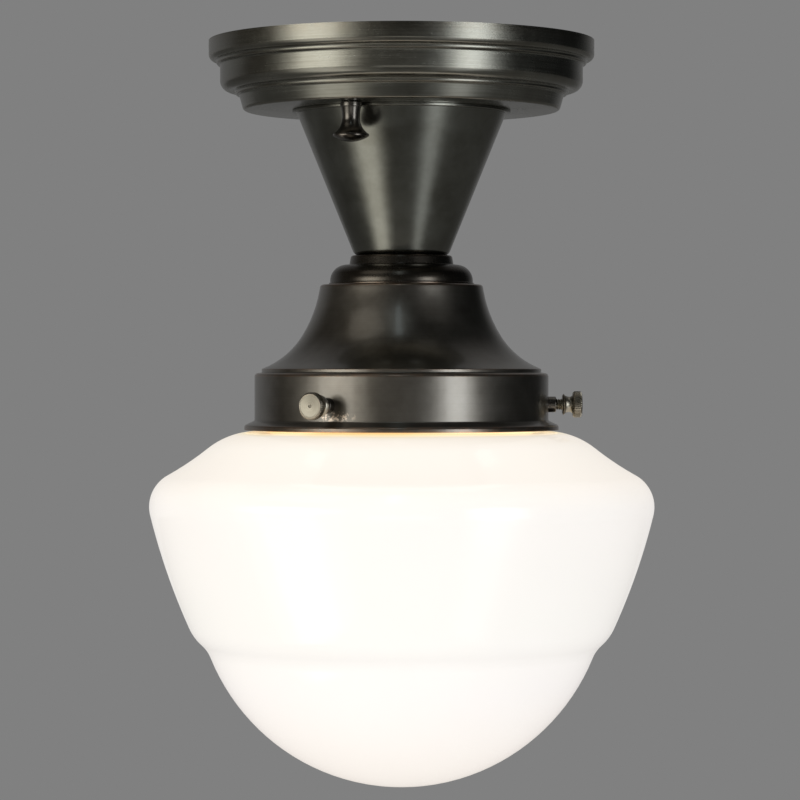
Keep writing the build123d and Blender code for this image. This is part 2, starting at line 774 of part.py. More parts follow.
def make_lampholder_body():
    """Glazed porcelain cup with a thick base and a wider mouth."""
    mouth_z = porcelain_z - porcelain_height
    step_z = mouth_z + porcelain_mouth_height
    waist_z = step_z + porcelain_mouth_radius - porcelain_top_radius
    shell_seat = shell_bore_radius + shell_wall + part_gap
    body = turned(
        [
            (0, porcelain_z, 0),
            (0, socket_z, 0),
            (shell_seat, socket_z, 0),
            (shell_seat, step_z, 0),
            (porcelain_mouth_bore, step_z, porcelain_rounding),
            (porcelain_mouth_bore, mouth_z, porcelain_mouth_rounding),
            (porcelain_mouth_radius, mouth_z, porcelain_rounding),
            (porcelain_mouth_radius, step_z, porcelain_rounding),
            (porcelain_top_radius, waist_z, porcelain_rounding),
            (porcelain_top_radius, porcelain_z, porcelain_rounding),
        ]
    )
    low = socket_z - cut_past
    high = porcelain_z + cut_past
    for side in (-1, 1):
        body -= rod(lamp_screw_radius + thread_gap, low, high, x=side * lamp_screw_offset)
    body -= rod(lead_radius + thread_gap, low, high, y=-live_hole_offset)
    body -= rod(lead_radius + thread_gap, low, high, y=neutral_hole_offset)
    body -= rod(rivet_radius + thread_gap, low, high)
    return body


def make_screw_shell():
    """Brass shell with a holed top that the bulb base turns into."""
    outer_radius = shell_bore_radius + shell_wall
    shell = tube(outer_radius, shell_bore_radius, socket_z - shell_length, socket_z)
    shell += tube(outer_radius, shell_window_radius, socket_z - shell_wall, socket_z)
    low = socket_z - shell_wall - cut_past
    for side in (-1, 1):
        shell -= rod(lamp_screw_radius + thread_gap, low, socket_z + cut_past, x=side * lamp_screw_offset)
    return shell


def make_centre_contact():
    """Brass strip with a raised tongue that the bulb's tip presses on."""
    reach = live_hole_offset + lead_radius + contact_edge
    strip_middle = contact_length / 2 - reach
    strip_z = socket_z - contact_thickness
    strip = Box(contact_width, contact_length, contact_thickness)
    strip = Pos(0, strip_middle, strip_z + contact_thickness / 2) * strip
    tongue = rod(contact_width / 2, strip_z - contact_tongue_drop, strip_z)
    tongue = fillet(tongue.edges().group_by(Axis.Z)[0], contact_tongue_rounding)
    return strip + tongue - rod(rivet_radius + thread_gap, strip_z - cut_past, socket_z + cut_past)


def make_contact_rivet():
    """Rivet that holds the centre contact to the porcelain base."""
    shank = rod(rivet_radius, socket_z - contact_thickness - rivet_end, porcelain_z)
    return shank + rod(rivet_head_radius, porcelain_z, porcelain_z + rivet_head_height)


# ---- bulb ----
def make_bulb_envelope():
    """Pear-shaped glass, rounded at the bottom and drawn in to the neck."""
    tip = bulb_z - bulb_length
    centre = tip + bulb_radius
    turn = radians(bulb_shoulder_angle)
    shoulder = (bulb_radius * cos(turn), centre + bulb_radius * sin(turn))
    with BuildLine() as outer_line:
        ball = TangentArc((0, tip), shoulder, tangent=(1, 0))
        neck = TangentArc(ball @ 1, (bulb_neck_radius, bulb_z - bulb_neck_drop), tangent=ball % 1)
        Line(neck @ 1, (base_root_radius, bulb_z - base_foot_drop()))
    return spun(outer_line.wires()[0], bulb_wall, Side.LEFT)


def base_foot_drop():
    """Bulb tip contact to the lower edge of the threaded base."""
    return base_top_drop + base_thread_pitch * (base_thread_turns + 0.5)


def make_bulb_base():
    """Threaded metal base with rolled ridges."""
    with BuildLine() as outer_line:
        top = Polyline(
            (base_bore_radius - base_crown, bulb_z - insulator_height),
            (base_root_radius, bulb_z - base_top_drop),
        )
        last = top @ 1
        for i in range(base_thread_turns):
            high = bulb_z - base_top_drop - base_thread_pitch * i
            ridge = ThreePointArc(
                last,
                (base_radius, high - base_thread_pitch / 2),
                (base_root_radius, high - base_thread_pitch),
            )
            last = ridge @ 1
        foot_z = bulb_z - base_foot_drop()
        Polyline(
            last,
            (base_root_radius + base_foot_roll, foot_z),
            (base_bore_radius, foot_z),
            (base_bore_radius, bulb_z - base_top_drop),
            (base_bore_radius - base_crown, bulb_z - base_top_drop),
            top @ 0,
        )
    base = revolve(Plane.XZ * make_face(outer_line.line), Axis.Z)
    return base - make_bulb_envelope()


def make_bulb_insulator():
    """Dark glass disc between the base and the tip contact."""
    low = bulb_z - base_top_drop
    return turned(
        [
            (0, bulb_z - tip_height, 0),
            (tip_radius, bulb_z - tip_height, sharp_rounding),
            (base_bore_radius - base_crown, bulb_z - insulator_height, 0),
            (base_bore_radius - base_crown, low, 0),
            (0, low, 0),
        ]
    )


def make_bulb_tip():
    """Solder dome at the top of the bulb."""
    return turned(
        [
            (0, bulb_z, 0),
            (tip_radius - tip_flat, bulb_z, tip_rounding),
            (tip_radius - tip_foot, bulb_z - tip_height, 0),
            (0, bulb_z - tip_height, 0),
        ]
    )


def make_bulb_stem():
    """Glass stem flared out to the envelope's end, with a rod down to the filament."""
    foot_z = bulb_z - base_foot_drop() - bulb_wall
    flare_radius = base_root_radius - bulb_wall - thread_gap
    stem = turned(
        [
            (0, foot_z, 0),
            (flare_radius, foot_z, sharp_rounding),
            (stem_rod_radius + stem_rod_taper, bulb_z - stem_waist_drop, stem_flare_rounding),
            (stem_rod_radius, bulb_z - stem_end_drop, stem_end_rounding),
            (0, bulb_z - stem_end_drop, 0),
        ]
    )
    hollow = turned(
        [
            (0, foot_z + cut_past, 0),
            (0, foot_z - stem_hollow_depth, 0),
            (stem_rod_radius, foot_z - stem_hollow_depth, stem_end_rounding),
            (flare_radius - 2 * bulb_wall, foot_z, 0),
            (flare_radius - 2 * bulb_wall, foot_z + cut_past, 0),
        ]
    )
    return stem - hollow


def filament_point(angle):
    """Point of the filament's arc, seen from below the bulb."""
    turn = radians(angle)
    return (filament_radius * cos(turn), filament_radius * sin(turn), bulb_z - filament_drop)


def make_bulb_filament():
    """Coiled tungsten arc, drawn as one thick wire."""
    angles = [filament_start_angle + filament_span * share for share in (0, 0.5, 1)]
    path = ThreePointArc(*[filament_point(angle) for angle in angles])
    start = Plane(origin=path @ 0, z_dir=path % 0)
    return sweep(start * Circle(filament_wire), path=path)


def make_filament_supports():
    """Three wires from the stem to the filament's ends and middle."""
    wires = []
    for share in (0, 0.5, 1):
        x, y, z = filament_point(filament_start_angle + filament_span * share)
        reach = hypot(x, y) - filament_wire - support_wire
        direction = Vector(x, y, 0).normalized()
        foot = direction * (stem_rod_radius / 2)
        start = Vector(foot.X, foot.Y, bulb_z - stem_end_drop)
        end = Vector(direction.X * reach, direction.Y * reach, z)
        line = Line(start, end)
        wires.append(sweep(Plane(origin=start, z_dir=line % 0) * Circle(support_wire), path=line))
    return Compound(wires) - make_bulb_stem()


# ---- leads ----
def lead_along(points, rooms):
    """Lead with the largest arc at each corner that its runs and its room allow."""
    radii = [bend_radius(*points[i : i + 3], rooms[i]) for i in range(len(rooms))]
    return lead(points, radii)


def pipe_lead_points(side, hole_offset, reach):
    """Route from a connector in the canopy, down the pipe and into the porcelain."""
    y = side * lead_offset
    return [
        (reach, y + side * (lead_spread + lead_end_spread), lead_turn_z),
        (reach / 2, y + side * lead_spread, lead_turn_z),
        (0, y, lead_turn_z),
        (0, y, pipe_bottom_z - lead_drop),
        (0, side * hole_offset, porcelain_z + lead_rise),
        (0, side * hole_offset, porcelain_z - lead_end),
    ]


def make_pipe_lead(points):
    """Lead of the lampholder, held in the pipe and in the porcelain."""
    open_room = abs(points[0][0])
    return lead_along(points, [open_room, lead_turn_z - pipe_top_z, open_room, lead_rise])


def ground_points():
    """Route of the ground lead: from under the ground screw's head to its connector."""
    y = ground_offset + ground_screw_radius + lead_radius + thread_gap
    end_y = y + lead_spread
    z = bracket_z - lead_radius
    return [
        (-ground_lead_back, y, z),
        (ground_lead_start, y, z),
        (ground_lead_bend, end_y, lead_turn_z),
        (ground_lead_bend + ground_lead_start, end_y, lead_turn_z),
    ]


def make_ground_lead():
    """Lead held under the head of the ground screw."""
    points = ground_points()
    return lead_along(points, [points[-1][0]] * 2)


def make_connector(end, before):
    """Ribbed twist-on connector pushed over the end of a lead."""
    direction = Vector(*end) - Vector(*before)
    blank = loft(
        [
            Circle(connector_mouth_radius),
            Pos(0, 0, connector_length) * Circle(connector_tip_radius),
        ],
        ruled=True,
    )
    lean = degrees(atan((connector_mouth_radius - connector_tip_radius) / connector_length))
    groove = Rot(0, -lean, 0) * Pos(0, 0, connector_length / 2) * Box(rib_depth, rib_depth, connector_length)
    for i in range(connector_ribs):
        blank -= Rot(0, 0, 360 / connector_ribs * i) * Pos(connector_mouth_radius, 0, connector_rim) * groove
    mouth = Cone(connector_mouth_radius - connector_wall, lead_radius, connector_flare)
    blank -= Pos(0, 0, connector_flare / 2) * mouth
    blank -= rod(lead_radius + thread_gap, -cut_past, connector_grip + cut_past)
    seat = Vector(*end) - direction.normalized() * connector_grip
    return Plane(origin=seat, z_dir=direction) * blank


# ---- build ----
live_route = pipe_lead_points(-1, live_hole_offset, lead_reach)
neutral_route = pipe_lead_points(1, neutral_hole_offset, -lead_reach)
ground_route = ground_points()

parts = {
    "canopy": make_canopy(),
    "mounting_bracket": make_mounting_bracket(),
    "canopy_screws": make_canopy_screws(),
    "canopy_screw_nuts": make_canopy_screw_nuts(),
    "ground_screw": make_ground_screw(),
    "canopy_knob_front": make_canopy_knob(-1),
    "canopy_knob_rear": make_canopy_knob(1),
    "cone_neck": make_cone_neck(),
    "holder_cap": make_holder_cap(),
    "shade_holder": make_shade_holder(),
    "thumbscrew_bosses": make_thumbscrew_bosses(),
    "glass_globe": make_glass_globe(),
    "threaded_pipe": make_threaded_pipe(),
    "canopy_washer": pipe_washer(canopy_z + sheet),
    "canopy_nut": pipe_nut(canopy_z + sheet + washer_thickness),
    "holder_washer": pipe_washer(cap_z - sheet - washer_thickness),
    "holder_nut": pipe_nut(pipe_nut_z),
    "lampholder_strap": make_lampholder_strap(),
    "lampholder_screws": make_lampholder_screws(),
    "lampholder_body": make_lampholder_body(),
    "screw_shell": make_screw_shell(),
    "centre_contact": make_centre_contact(),
    "contact_rivet": make_contact_rivet(),
    "bulb_envelope": make_bulb_envelope(),
    "bulb_base": make_bulb_base(),
    "bulb_insulator": make_bulb_insulator(),
    "bulb_tip_contact": make_bulb_tip(),
    "bulb_stem": make_bulb_stem(),
    "bulb_filament": make_bulb_filament(),
    "filament_supports": make_filament_supports(),
    "live_lead": make_pipe_lead(live_route),
    "neutral_lead": make_pipe_lead(neutral_route),
    "ground_lead": make_ground_lead(),
    "live_connector": make_connector(live_route[0], live_route[1]),
    "neutral_connector": make_connector(neutral_route[0], neutral_route[1]),
    "ground_connector": make_connector(ground_route[-1], ground_route[-2]),
}
for name, angle in zip(("front", "right", "rear"), thumbscrew_angles()):
    parts[f"thumbscrew_{name}"] = make_thumbscrew(angle)

os.makedirs("parts", exist_ok=True)
for name, solid in parts.items():
    export_step(solid, f"parts/{name}.step")
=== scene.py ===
import math

import bpy
import numpy as np
from mathutils import Matrix, Vector


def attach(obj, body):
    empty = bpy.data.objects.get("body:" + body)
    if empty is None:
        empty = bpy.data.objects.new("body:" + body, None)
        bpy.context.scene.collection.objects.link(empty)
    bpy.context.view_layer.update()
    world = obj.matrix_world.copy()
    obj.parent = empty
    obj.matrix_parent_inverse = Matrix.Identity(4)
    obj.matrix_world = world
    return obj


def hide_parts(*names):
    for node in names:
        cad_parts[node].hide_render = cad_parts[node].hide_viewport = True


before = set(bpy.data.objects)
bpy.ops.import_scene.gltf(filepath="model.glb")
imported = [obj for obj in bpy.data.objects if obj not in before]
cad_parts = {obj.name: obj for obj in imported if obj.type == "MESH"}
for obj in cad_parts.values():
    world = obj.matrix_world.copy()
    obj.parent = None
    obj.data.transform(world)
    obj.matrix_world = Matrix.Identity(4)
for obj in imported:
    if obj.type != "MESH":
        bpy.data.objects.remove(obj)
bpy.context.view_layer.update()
scene = bpy.context.scene
MM = 0.001

# ---- levels and sizes in millimetres, as in the CAD ----
SHEET = 0.9  # wall of the spun shells
GLASS = 3.0  # wall of the globe
LEDGE_1, LEDGE_2 = -7.2, -18.2  # ledges between the canopy's three tiers
BEAD = 1.5  # height of the bead under each ledge
CANOPY_Z = -25.1
BAND_Z = CANOPY_Z - 1.2  # lower edge of the cone's band
CONE_Z = -77.6
CAP_Z = -88.2
BRACKET_Z = -5.6
KNOB_Z = -25.3
KNOB_OFFSET = 46.1
SCREW_Z = -131.6
SCREW_ANGLES = {"front": -96.5, "right": 23.5, "rear": 143.5}
GLOBE_Z = -141.3
SOCKET_Z = -119.0
BULB_Z = -121.3
FOOT_Z = BULB_Z - 23.965  # lower edge of the bulb's base
FILAMENT_Z = BULB_Z - 66.0
PIPE_TOP, PIPE_FOOT = -17.9, -96.0
PIPE_RADIUS, PIPE_BORE, PIPE_HOLE = 5.1, 3.4, 5.4
UPPER_NUT_Z, LOWER_NUT_Z = -23.3, -93.6
CANOPY_SCREW_TIP, CANOPY_HEAD_LOW, CANOPY_HEAD_TOP = -34.4, -4.0, -1.6
TERMINAL_TIP, TERMINAL_HEAD_LOW, TERMINAL_HEAD_TOP = -120.6, -108.4, -106.2
TERMINAL_OFFSET = 11.5
GROUND_HEX_Z, GROUND_FLANGE_TOP, GROUND_TOP = -11.7, -7.8, -2.4
GROUND_OFFSET = 25.0
THREAD_RADIUS, THREAD_BORE, THREAD_PITCH, THREAD_DEPTH = 2.083, 2.13, 0.794, 0.42  # 8-32 screws
PIPE_PITCH, EDISON_PITCH = 0.941, 3.63

# ---- fineness of the meshes ----
ARC_STEP = 11  # degrees for each piece of a rounding
LONGEST_RUN = 4  # millimetres for each piece of a long arc
SHARP = 32  # degrees at which an edge shades sharp
REPEATED = 1e-4  # rows nearer than this are one row


# ---- profiles ----
def cross(a, b):
    return a.x * b.y - a.y * b.x


def rounded(corners, closed=False):
    """Rows of radius and height along straight runs joined by arcs; a corner is radius, height, rounding."""
    points = [Vector((c[0], c[1])) for c in corners]
    count = len(points)
    radii = [c[2] if len(c) > 2 else 0 for c in corners]
    if not closed:
        radii[0] = radii[-1] = 0
    runs = [points[(i + 1) % count] - points[i] for i in range(count)]
    turns = [math.atan2(cross(runs[i - 1], runs[i]), runs[i - 1].dot(runs[i])) for i in range(count)]
    setbacks = [radii[i] * math.tan(abs(turns[i]) / 2) if radii[i] else 0 for i in range(count)]
    rows = []
    for i in range(count):
        if not setbacks[i]:
            rows.append(tuple(points[i]))
            continue
        before, after = runs[i - 1].length, runs[i].length
        share = min(1.0, 0.98 * before / (setbacks[i] + setbacks[i - 1]),
                    0.98 * after / (setbacks[i] + setbacks[(i + 1) % count]))
        way = runs[i - 1].normalized()
        start = points[i] - way * setbacks[i] * share
        pieces = max(2, math.ceil(abs(math.degrees(turns[i])) / ARC_STEP))
        bow = radii[i] * share
        side = math.copysign(1, turns[i])
        centre = start + Vector((-way.y, way.x)) * bow * side
        arm = start - centre
        for k in range(pieces + 1):
            a = turns[i] * k / pieces
            rows.append((centre.x + arm.x * math.cos(a) - arm.y * math.sin(a),
                         centre.y + arm.x * math.sin(a) + arm.y * math.cos(a)))
    return rows


def arcs(start, way, points, step=4):
    """Rows along arcs that run on smoothly from start through the points; step is in degrees."""
    rows = []
    last = Vector(start)
    tangent = Vector(way).normalized()
    for point in points:
        chord = Vector(point) - last
        unit = chord.normalized()
        turn = 2 * math.atan2(cross(tangent, unit), tangent.dot(unit))
        pieces = max(2, math.ceil(abs(math.degrees(turn)) / step), math.ceil(chord.length / LONGEST_RUN))
        for k in range(1, pieces + 1):
            if abs(turn) < 1e-6:
                rows.append(tuple(last + chord * k / pieces))
                continue
            a = turn * k / pieces
            bow = chord.length / (2 * math.sin(turn / 2))
            normal = Vector((-tangent.y, tangent.x))
            rows.append(tuple(last + tangent * bow * math.sin(a) + normal * bow * (1 - math.cos(a))))
        tangent = Vector((tangent.x * math.cos(turn) - tangent.y * math.sin(turn),
                          tangent.x * math.sin(turn) + tangent.y * math.cos(turn)))
        last = Vector(point)
    return rows


def dense(radius, low, high, gap):
    """Rows close together along a straight side, for a thread."""
    return [(radius, z) for z in np.linspace(low, high, max(2, int(abs(high - low) / gap)))]


def dense_side(rows, gap):
    """Rows with more of them on long straight sides."""
    made = [rows[0]]
    for a, b in zip(rows, rows[1:]):
        count = max(1, int(math.dist(a, b) / gap))
        made += [(a[0] + (b[0] - a[0]) * k / count, a[1] + (b[1] - a[1]) * k / count)
                 for k in range(1, count + 1)]
    return made


def distinct(rows):
    """Rows as an array, without those that repeat the row before."""
    rows = np.array(rows, float)
    return rows[np.r_[True, np.hypot(*np.diff(rows, axis=0).T) > REPEATED]]


def section(line, wall, side):
    """Closed section of a sheet: the line of its outer face and the same line set in by the wall."""
    line = distinct(line)
    run = np.diff(line, axis=0)
    run /= np.hypot(*run.T)[:, None]
    normal = np.stack([-run[:, 1], run[:, 0]], 1) * side
    corner = np.vstack([normal[:1], normal[:-1] + normal[1:], normal[-1:]])
    corner /= np.maximum((corner ** 2).sum(1), 1e-9)[:, None] / 2
    corner[[0, -1]] = normal[[0, -1]]
    inner = line + corner * wall
    a, b = line[:-1], line[1:]
    along = ((inner[:, None] - a) * (b - a)).sum(2) / ((b - a) ** 2).sum(1)
    near = a + np.clip(along, 0, 1)[..., None] * (b - a)
    room = np.hypot(*np.moveaxis(inner[:, None] - near, 2, 0)).min(1)
    inner = inner[room > 0.97 * wall]
    return [tuple(p) for p in line] + [tuple(p) for p in inner[::-1]]


# ---- meshes ----
def at(x, y, z):
    """Place given in millimetres."""
    return Matrix.Translation((x * MM, y * MM, z * MM))


def new_object(name, verts, faces, material, body, nodes, place=None, edge=None, sharp=SHARP):
    """Mesh in metres that rides on a body and stands for CAD nodes."""
    mesh = bpy.data.meshes.new(name)
    mesh.from_pydata([tuple(v) for v in verts], [], faces)
    mesh.update()
    if edge is not None:
        mesh.attributes.new("edge", "FLOAT", "POINT").data.foreach_set("value", np.asarray(edge, np.float32))
    mesh.shade_smooth()
    mesh.set_sharp_from_angle(angle=math.radians(sharp))
    mesh.materials.append(material)
    piece = bpy.data.objects.new(name, mesh)
    scene.collection.objects.link(piece)
    if place is not None:
        piece.matrix_world = place
    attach(piece, body)
    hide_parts(*nodes)
    return piece


def lathe(name, rows, material, body, nodes, steps=192, carve=None, place=None, sharp=SHARP):
    """Surface of revolution through the rows; it is a ring unless both ends of the rows are on the axis.

    Its edge attribute says how sharply each row bends outwards, which is where a finish mixes in its edge
    tint.
    """
    rows = distinct(rows)
    solid = rows[0, 0] < 1e-6 and rows[-1, 0] < 1e-6
    if not solid and np.hypot(*(rows[0] - rows[-1])) < REPEATED:
        rows = rows[:-1]
    flow = np.roll(rows, -1, axis=0)
    if (rows[:, 0] * flow[:, 1] - flow[:, 0] * rows[:, 1]).sum() < 0:
        rows = rows[::-1]
    before = rows - np.roll(rows, 1, axis=0)
    after = np.roll(rows, -1, axis=0) - rows
    turn = np.arctan2(before[:, 0] * after[:, 1] - before[:, 1] * after[:, 0], (before * after).sum(1))
    length = (np.hypot(*before.T) + np.hypot(*after.T)) / 2
    bend = np.clip(turn / np.maximum(length, 0.25) * 0.6, 0, 1)
    if solid:
        bend[[0, -1]] = 0
    radius = np.repeat(rows[:, :1], steps, axis=1)
    height = np.repeat(rows[:, 1:], steps, axis=1)
    turned = np.repeat((2 * math.pi * np.arange(steps) / steps)[None], len(rows), axis=0)
    if carve:
        radius = carve(radius, turned, height)
    verts = np.stack([radius * np.cos(turned), radius * np.sin(turned), height], 2).reshape(-1, 3) * MM
    edge = np.repeat(bend, steps)
    index = np.arange(len(rows) * steps).reshape(len(rows), steps)
    faces = []
    last = len(rows) - 1 if solid else len(rows)
    for i in range(last):
        low, high = index[i], index[(i + 1) % len(rows)]
        if solid and i == 0:
            faces += [(low[0], high[(k + 1) % steps], high[k]) for k in range(steps)]
        elif solid and i == last - 1:
            faces += [(low[k], low[(k + 1) % steps], high[0]) for k in range(steps)]
        else:
            faces += [(low[k], low[(k + 1) % steps], high[(k + 1) % steps], high[k]) for k in range(steps)]
    used = np.unique(np.concatenate(faces))
    renumber = np.zeros(len(verts), int)
    renumber[used] = np.arange(len(used))
    faces = [tuple(renumber[list(f)].tolist()) for f in faces]
    return new_object(name, verts[used], faces, material, body, nodes, place, edge[used], sharp)


def wire(name, line, radius, sides, material, body, nodes):
    """Round wire along closely spaced points in millimetres."""
    line = np.array(line, float)
    run = np.gradient(line, axis=0)
    run /= np.linalg.norm(run, axis=1)[:, None]
    side = np.cross(run[0], (0.3, 0.2, 1.0))
    verts = []
    for spot, way in zip(line, run):
        side = side - way * side.dot(way)
        side /= np.linalg.norm(side)
        up = np.cross(way, side)
        for j in range(sides):
            a = 2 * math.pi * j / sides
            verts.append((spot + radius * (math.cos(a) * side + math.sin(a) * up)) * MM)
    starts = range(0, (len(line) - 1) * sides, sides)
    faces = [(k + j, k + (j + 1) % sides, k + sides + (j + 1) % sides, k + sides + j)
             for k in starts for j in range(sides)]
    faces += [tuple(reversed(range(sides))), tuple(range((len(line) - 1) * sides, len(line) * sides))]
    return new_object(name, verts, faces, material, body, nodes)


def slot_cut(piece, width, depth, reach, top, place):
    """Cuts a driver slot through a screw head."""
    verts = [(x * reach * MM, y * width / 2 * MM, (top + z * depth) * MM)
             for x in (-1, 1) for y in (-1, 1) for z in (-1, 1)]
    faces = [(0, 1, 3, 2), (4, 6, 7, 5), (0, 4, 5, 1), (2, 3, 7, 6), (0, 2, 6, 4), (1, 5, 7, 3)]
    bar = bpy.data.meshes.new("cutter")
    bar.from_pydata(verts, [], faces)
    cutter = bpy.data.objects.new("cutter", bar)
    scene.collection.objects.link(cutter)
    cutter.matrix_world = place
    bpy.context.view_layer.update()
    change = piece.modifiers.new("cut", "BOOLEAN")
    change.object = cutter
    change.solver = "EXACT"
    graph = bpy.context.evaluated_depsgraph_get()
    mesh = bpy.data.meshes.new_from_object(piece.evaluated_get(graph))
    piece.modifiers.clear()
    old = piece.data
    piece.data = mesh
    bpy.data.meshes.remove(old)
    mesh.shade_smooth()
    mesh.set_sharp_from_angle(angle=math.radians(SHARP))
    bpy.data.objects.remove(cutter)


# ---- cuts: each changes the radius at an angle and a height ----
def threaded(major, pitch, depth, low, high):
    """Helical thread cut into the side of that radius, between two heights; it fades out at its ends."""
    def cut(r, a, z):
        wave = np.abs(2 * ((z / pitch - a / (2 * math.pi)) % 1) - 1)
        fade = np.clip(np.minimum(z - low, high - z) / (0.6 * pitch), 0, 1)
        on = (np.abs(r - major) < 1e-4) & (z > low) & (z < high)
        return np.where(on, r - depth * wave * fade, r)
    return cut


def rolled(low, high, swing, middles):
    """Rolled screw form on the faces of those radii."""
    def cut(r, a, z):
        wave = swing * np.sin(2 * math.pi * (z / EDISON_PITCH - a / (2 * math.pi)))
        fade = np.clip(np.minimum(z - low, high - z) / 1.5, 0, 1)
        on = np.zeros(r.shape, bool)
        for middle in middles:
            on |= np.abs(r - middle) < 1e-4
        return np.where(on, r + wave * fade, r)
    return cut


def hexed(flats, low, high):
    """Six flats over the heights given."""
    def cut(r, a, z):
        flat = flats / 2 / np.cos((a % (math.pi / 3)) - math.pi / 6)
        return np.where((z >= low - 1e-6) & (z <= high + 1e-6), np.minimum(r, flat), r)
    return cut


def both(*cuts):
    def cut(r, a, z):
        for one in cuts:
            r = one(r, a, z)
        return r
    return cut


# ---- materials ----
def feed(tree, socket, value):
    """Gives a socket a plain value or a link from another node's socket."""
    if isinstance(value, bpy.types.NodeSocket):
        tree.links.new(value, socket)
    else:
        socket.default_value = value


def fill(tree, node, inputs):
    for name, value in inputs.items():
        feed(tree, node.inputs[name], value)


def put(tree, kind, inputs, **settings):
    """Adds a node."""
    made = tree.nodes.new(kind)
    for name, value in settings.items():
        setattr(made, name, value)
    fill(tree, made, inputs)
    return made


def start_material(name):
    """Material with its tree, its shader and the socket of the object's own coordinates."""
    material = bpy.data.materials.new(name)
    material.use_nodes = True
    tree = material.node_tree
    tree.nodes.clear()
    shader = tree.nodes.new("ShaderNodeBsdfPrincipled")
    put(tree, "ShaderNodeOutputMaterial", {0: shader.outputs[0]})
    place = tree.nodes.new("ShaderNodeTexCoord").outputs["Object"]
    return material, tree, shader, place


def maths(tree, operation, *values):
    return put(tree, "ShaderNodeMath", dict(enumerate(values)), operation=operation).outputs[0]


def vectors(tree, operation, *values):
    """Vector maths; a length and a dot product come out as a plain number."""
    made = put(tree, "ShaderNodeVectorMath", dict(enumerate(values)), operation=operation)
    return made.outputs["Value" if operation in ("LENGTH", "DOT_PRODUCT") else "Vector"]


def weighted(tree, *terms, plus=0):
    """Sum of sockets, each times its weight, and of a plain number."""
    total, *others = [maths(tree, "MULTIPLY", socket, weight) for socket, weight in terms]
    for part in others + [plus] * bool(plus):
        total = maths(tree, "ADD", total, part)
    return total


def spread(tree, value, low, high, to_low, to_high):
    """Value between low and high, mapped to another range and held inside it."""
    return put(tree, "ShaderNodeMapRange", {0: value, 1: low, 2: high, 3: to_low, 4: to_high}).outputs[0]


def colours(tree, value, stops):
    """Colour ramp through (position, colour) stops."""
    made = put(tree, "ShaderNodeValToRGB", {0: value})
    ramp = made.color_ramp
    while len(ramp.elements) < len(stops):
        ramp.elements.new(0.5)
    for element, (position, colour) in zip(ramp.elements, stops):
        element.position = position
        element.color = (*colour, 1)
    return made.outputs[0]


def clouded(tree, cloud, dark, light):
    """Colour between two tones by a noise."""
    return colours(tree, cloud, [(0.3, dark), (0.7, light)])


def blend(tree, factor, first, second):
    made = put(tree, "ShaderNodeMix", {0: factor}, data_type="RGBA")
    for socket, value in ((made.inputs[6], first), (made.inputs[7], second)):
        feed(tree, socket, value if isinstance(value, bpy.types.NodeSocket) else (*value, 1))
    return made.outputs[2]


def noise(tree, vector, scale, detail, rough=0.55, distortion=0.0):
    return put(tree, "ShaderNodeTexNoise", {"Vector": vector, "Scale": scale, "Detail": detail,
                                            "Roughness": rough, "Distortion": distortion}).outputs[0]


def bump(tree, height, distance, strength=1.0):
    return put(tree, "ShaderNodeBump", {"Height": height, "Distance": distance,
                                        "Strength": strength}).outputs[0]


def rings(tree, place, pitch, along, detail):
    """Fine lines running round the Z axis, each fading in and out over a length round it."""
    x, y, z = put(tree, "ShaderNodeSeparateXYZ", {0: place}).outputs
    squares = maths(tree, "ADD", maths(tree, "MULTIPLY", x, x), maths(tree, "MULTIPLY", y, y))
    packed = put(tree, "ShaderNodeCombineXYZ", {
        0: maths(tree, "MULTIPLY", maths(tree, "SQRT", squares), 1 / pitch),
        1: maths(tree, "MULTIPLY", z, 1 / pitch),
        2: maths(tree, "MULTIPLY", x, 1 / along),
    })
    return put(tree, "ShaderNodeTexNoise", {
        "Vector": packed.outputs[0], "W": maths(tree, "MULTIPLY", y, 1 / along),
        "Scale": 1.0, "Detail": detail, "Roughness": 0.62,
    }, noise_dimensions="4D").outputs[0]


CHIPS_AT = (-0.0035, -0.0534, -0.1355)  # under the front thumbscrew
CHIP_TINT = (0.70, 0.59, 0.49)


def bronze(name, dark, light, edge_tint, rough, pitch, coat, line_depth, line_share, stretch, chipped=False):
    """Dark bronze finish on turned or spun metal, with its edge tint mixed in patches over its outward bends;
    on the skirt that tint is a painted warm reflection of the lit globe.
    """
    material, tree, shader, place = start_material(name)
    lines = rings(tree, place, pitch, 0.03, 4.0)
    hair = rings(tree, place, pitch * 0.28, 0.012, 2.0)
    cloud = noise(tree, place, 70, 4, 0.6)
    specks = noise(tree, place, 900, 2, 0.5)
    tone = weighted(tree, (lines, line_share), (cloud, 1 - line_share))
    base = colours(tree, tone, [(0.3, dark), (0.72, light)])
    edge = put(tree, "ShaderNodeAttribute", {}, attribute_name="edge").outputs["Fac"]
    patchy = spread(tree, noise(tree, place, 260, 4, 0.7), 0.36, 0.66, 0.15, 1.0)
    base = blend(tree, maths(tree, "MULTIPLY", edge, patchy), base, edge_tint)
    if chipped:
        away = vectors(tree, "MULTIPLY", vectors(tree, "SUBTRACT", place, CHIPS_AT), (1, 1, 4))
        near = spread(tree, vectors(tree, "LENGTH", away), 0.004, 0.009, 1, 0)
        chips = spread(tree, noise(tree, place, 1100, 2, 0.6), 0.53, 0.59, 0, 1)
        base = blend(tree, maths(tree, "MULTIPLY", near, chips), base, CHIP_TINT)
    grain = weighted(tree, (lines, 0.2 * line_share), (cloud, 0.12), (specks, 0.05), plus=rough - 0.13)
    tangent = put(tree, "ShaderNodeTangent", {}, direction_type="RADIAL", axis="Z").outputs[0]
    fill(tree, shader, {
        "Base Color": base, "Metallic": 1.0, "Roughness": grain, "Anisotropic": stretch, "Tangent": tangent,
        "Coat Weight": coat, "Coat Roughness": 0.12,
        "Normal": bump(tree, weighted(tree, (lines, 0.7), (hair, 0.3)), line_depth),
    })
    return material


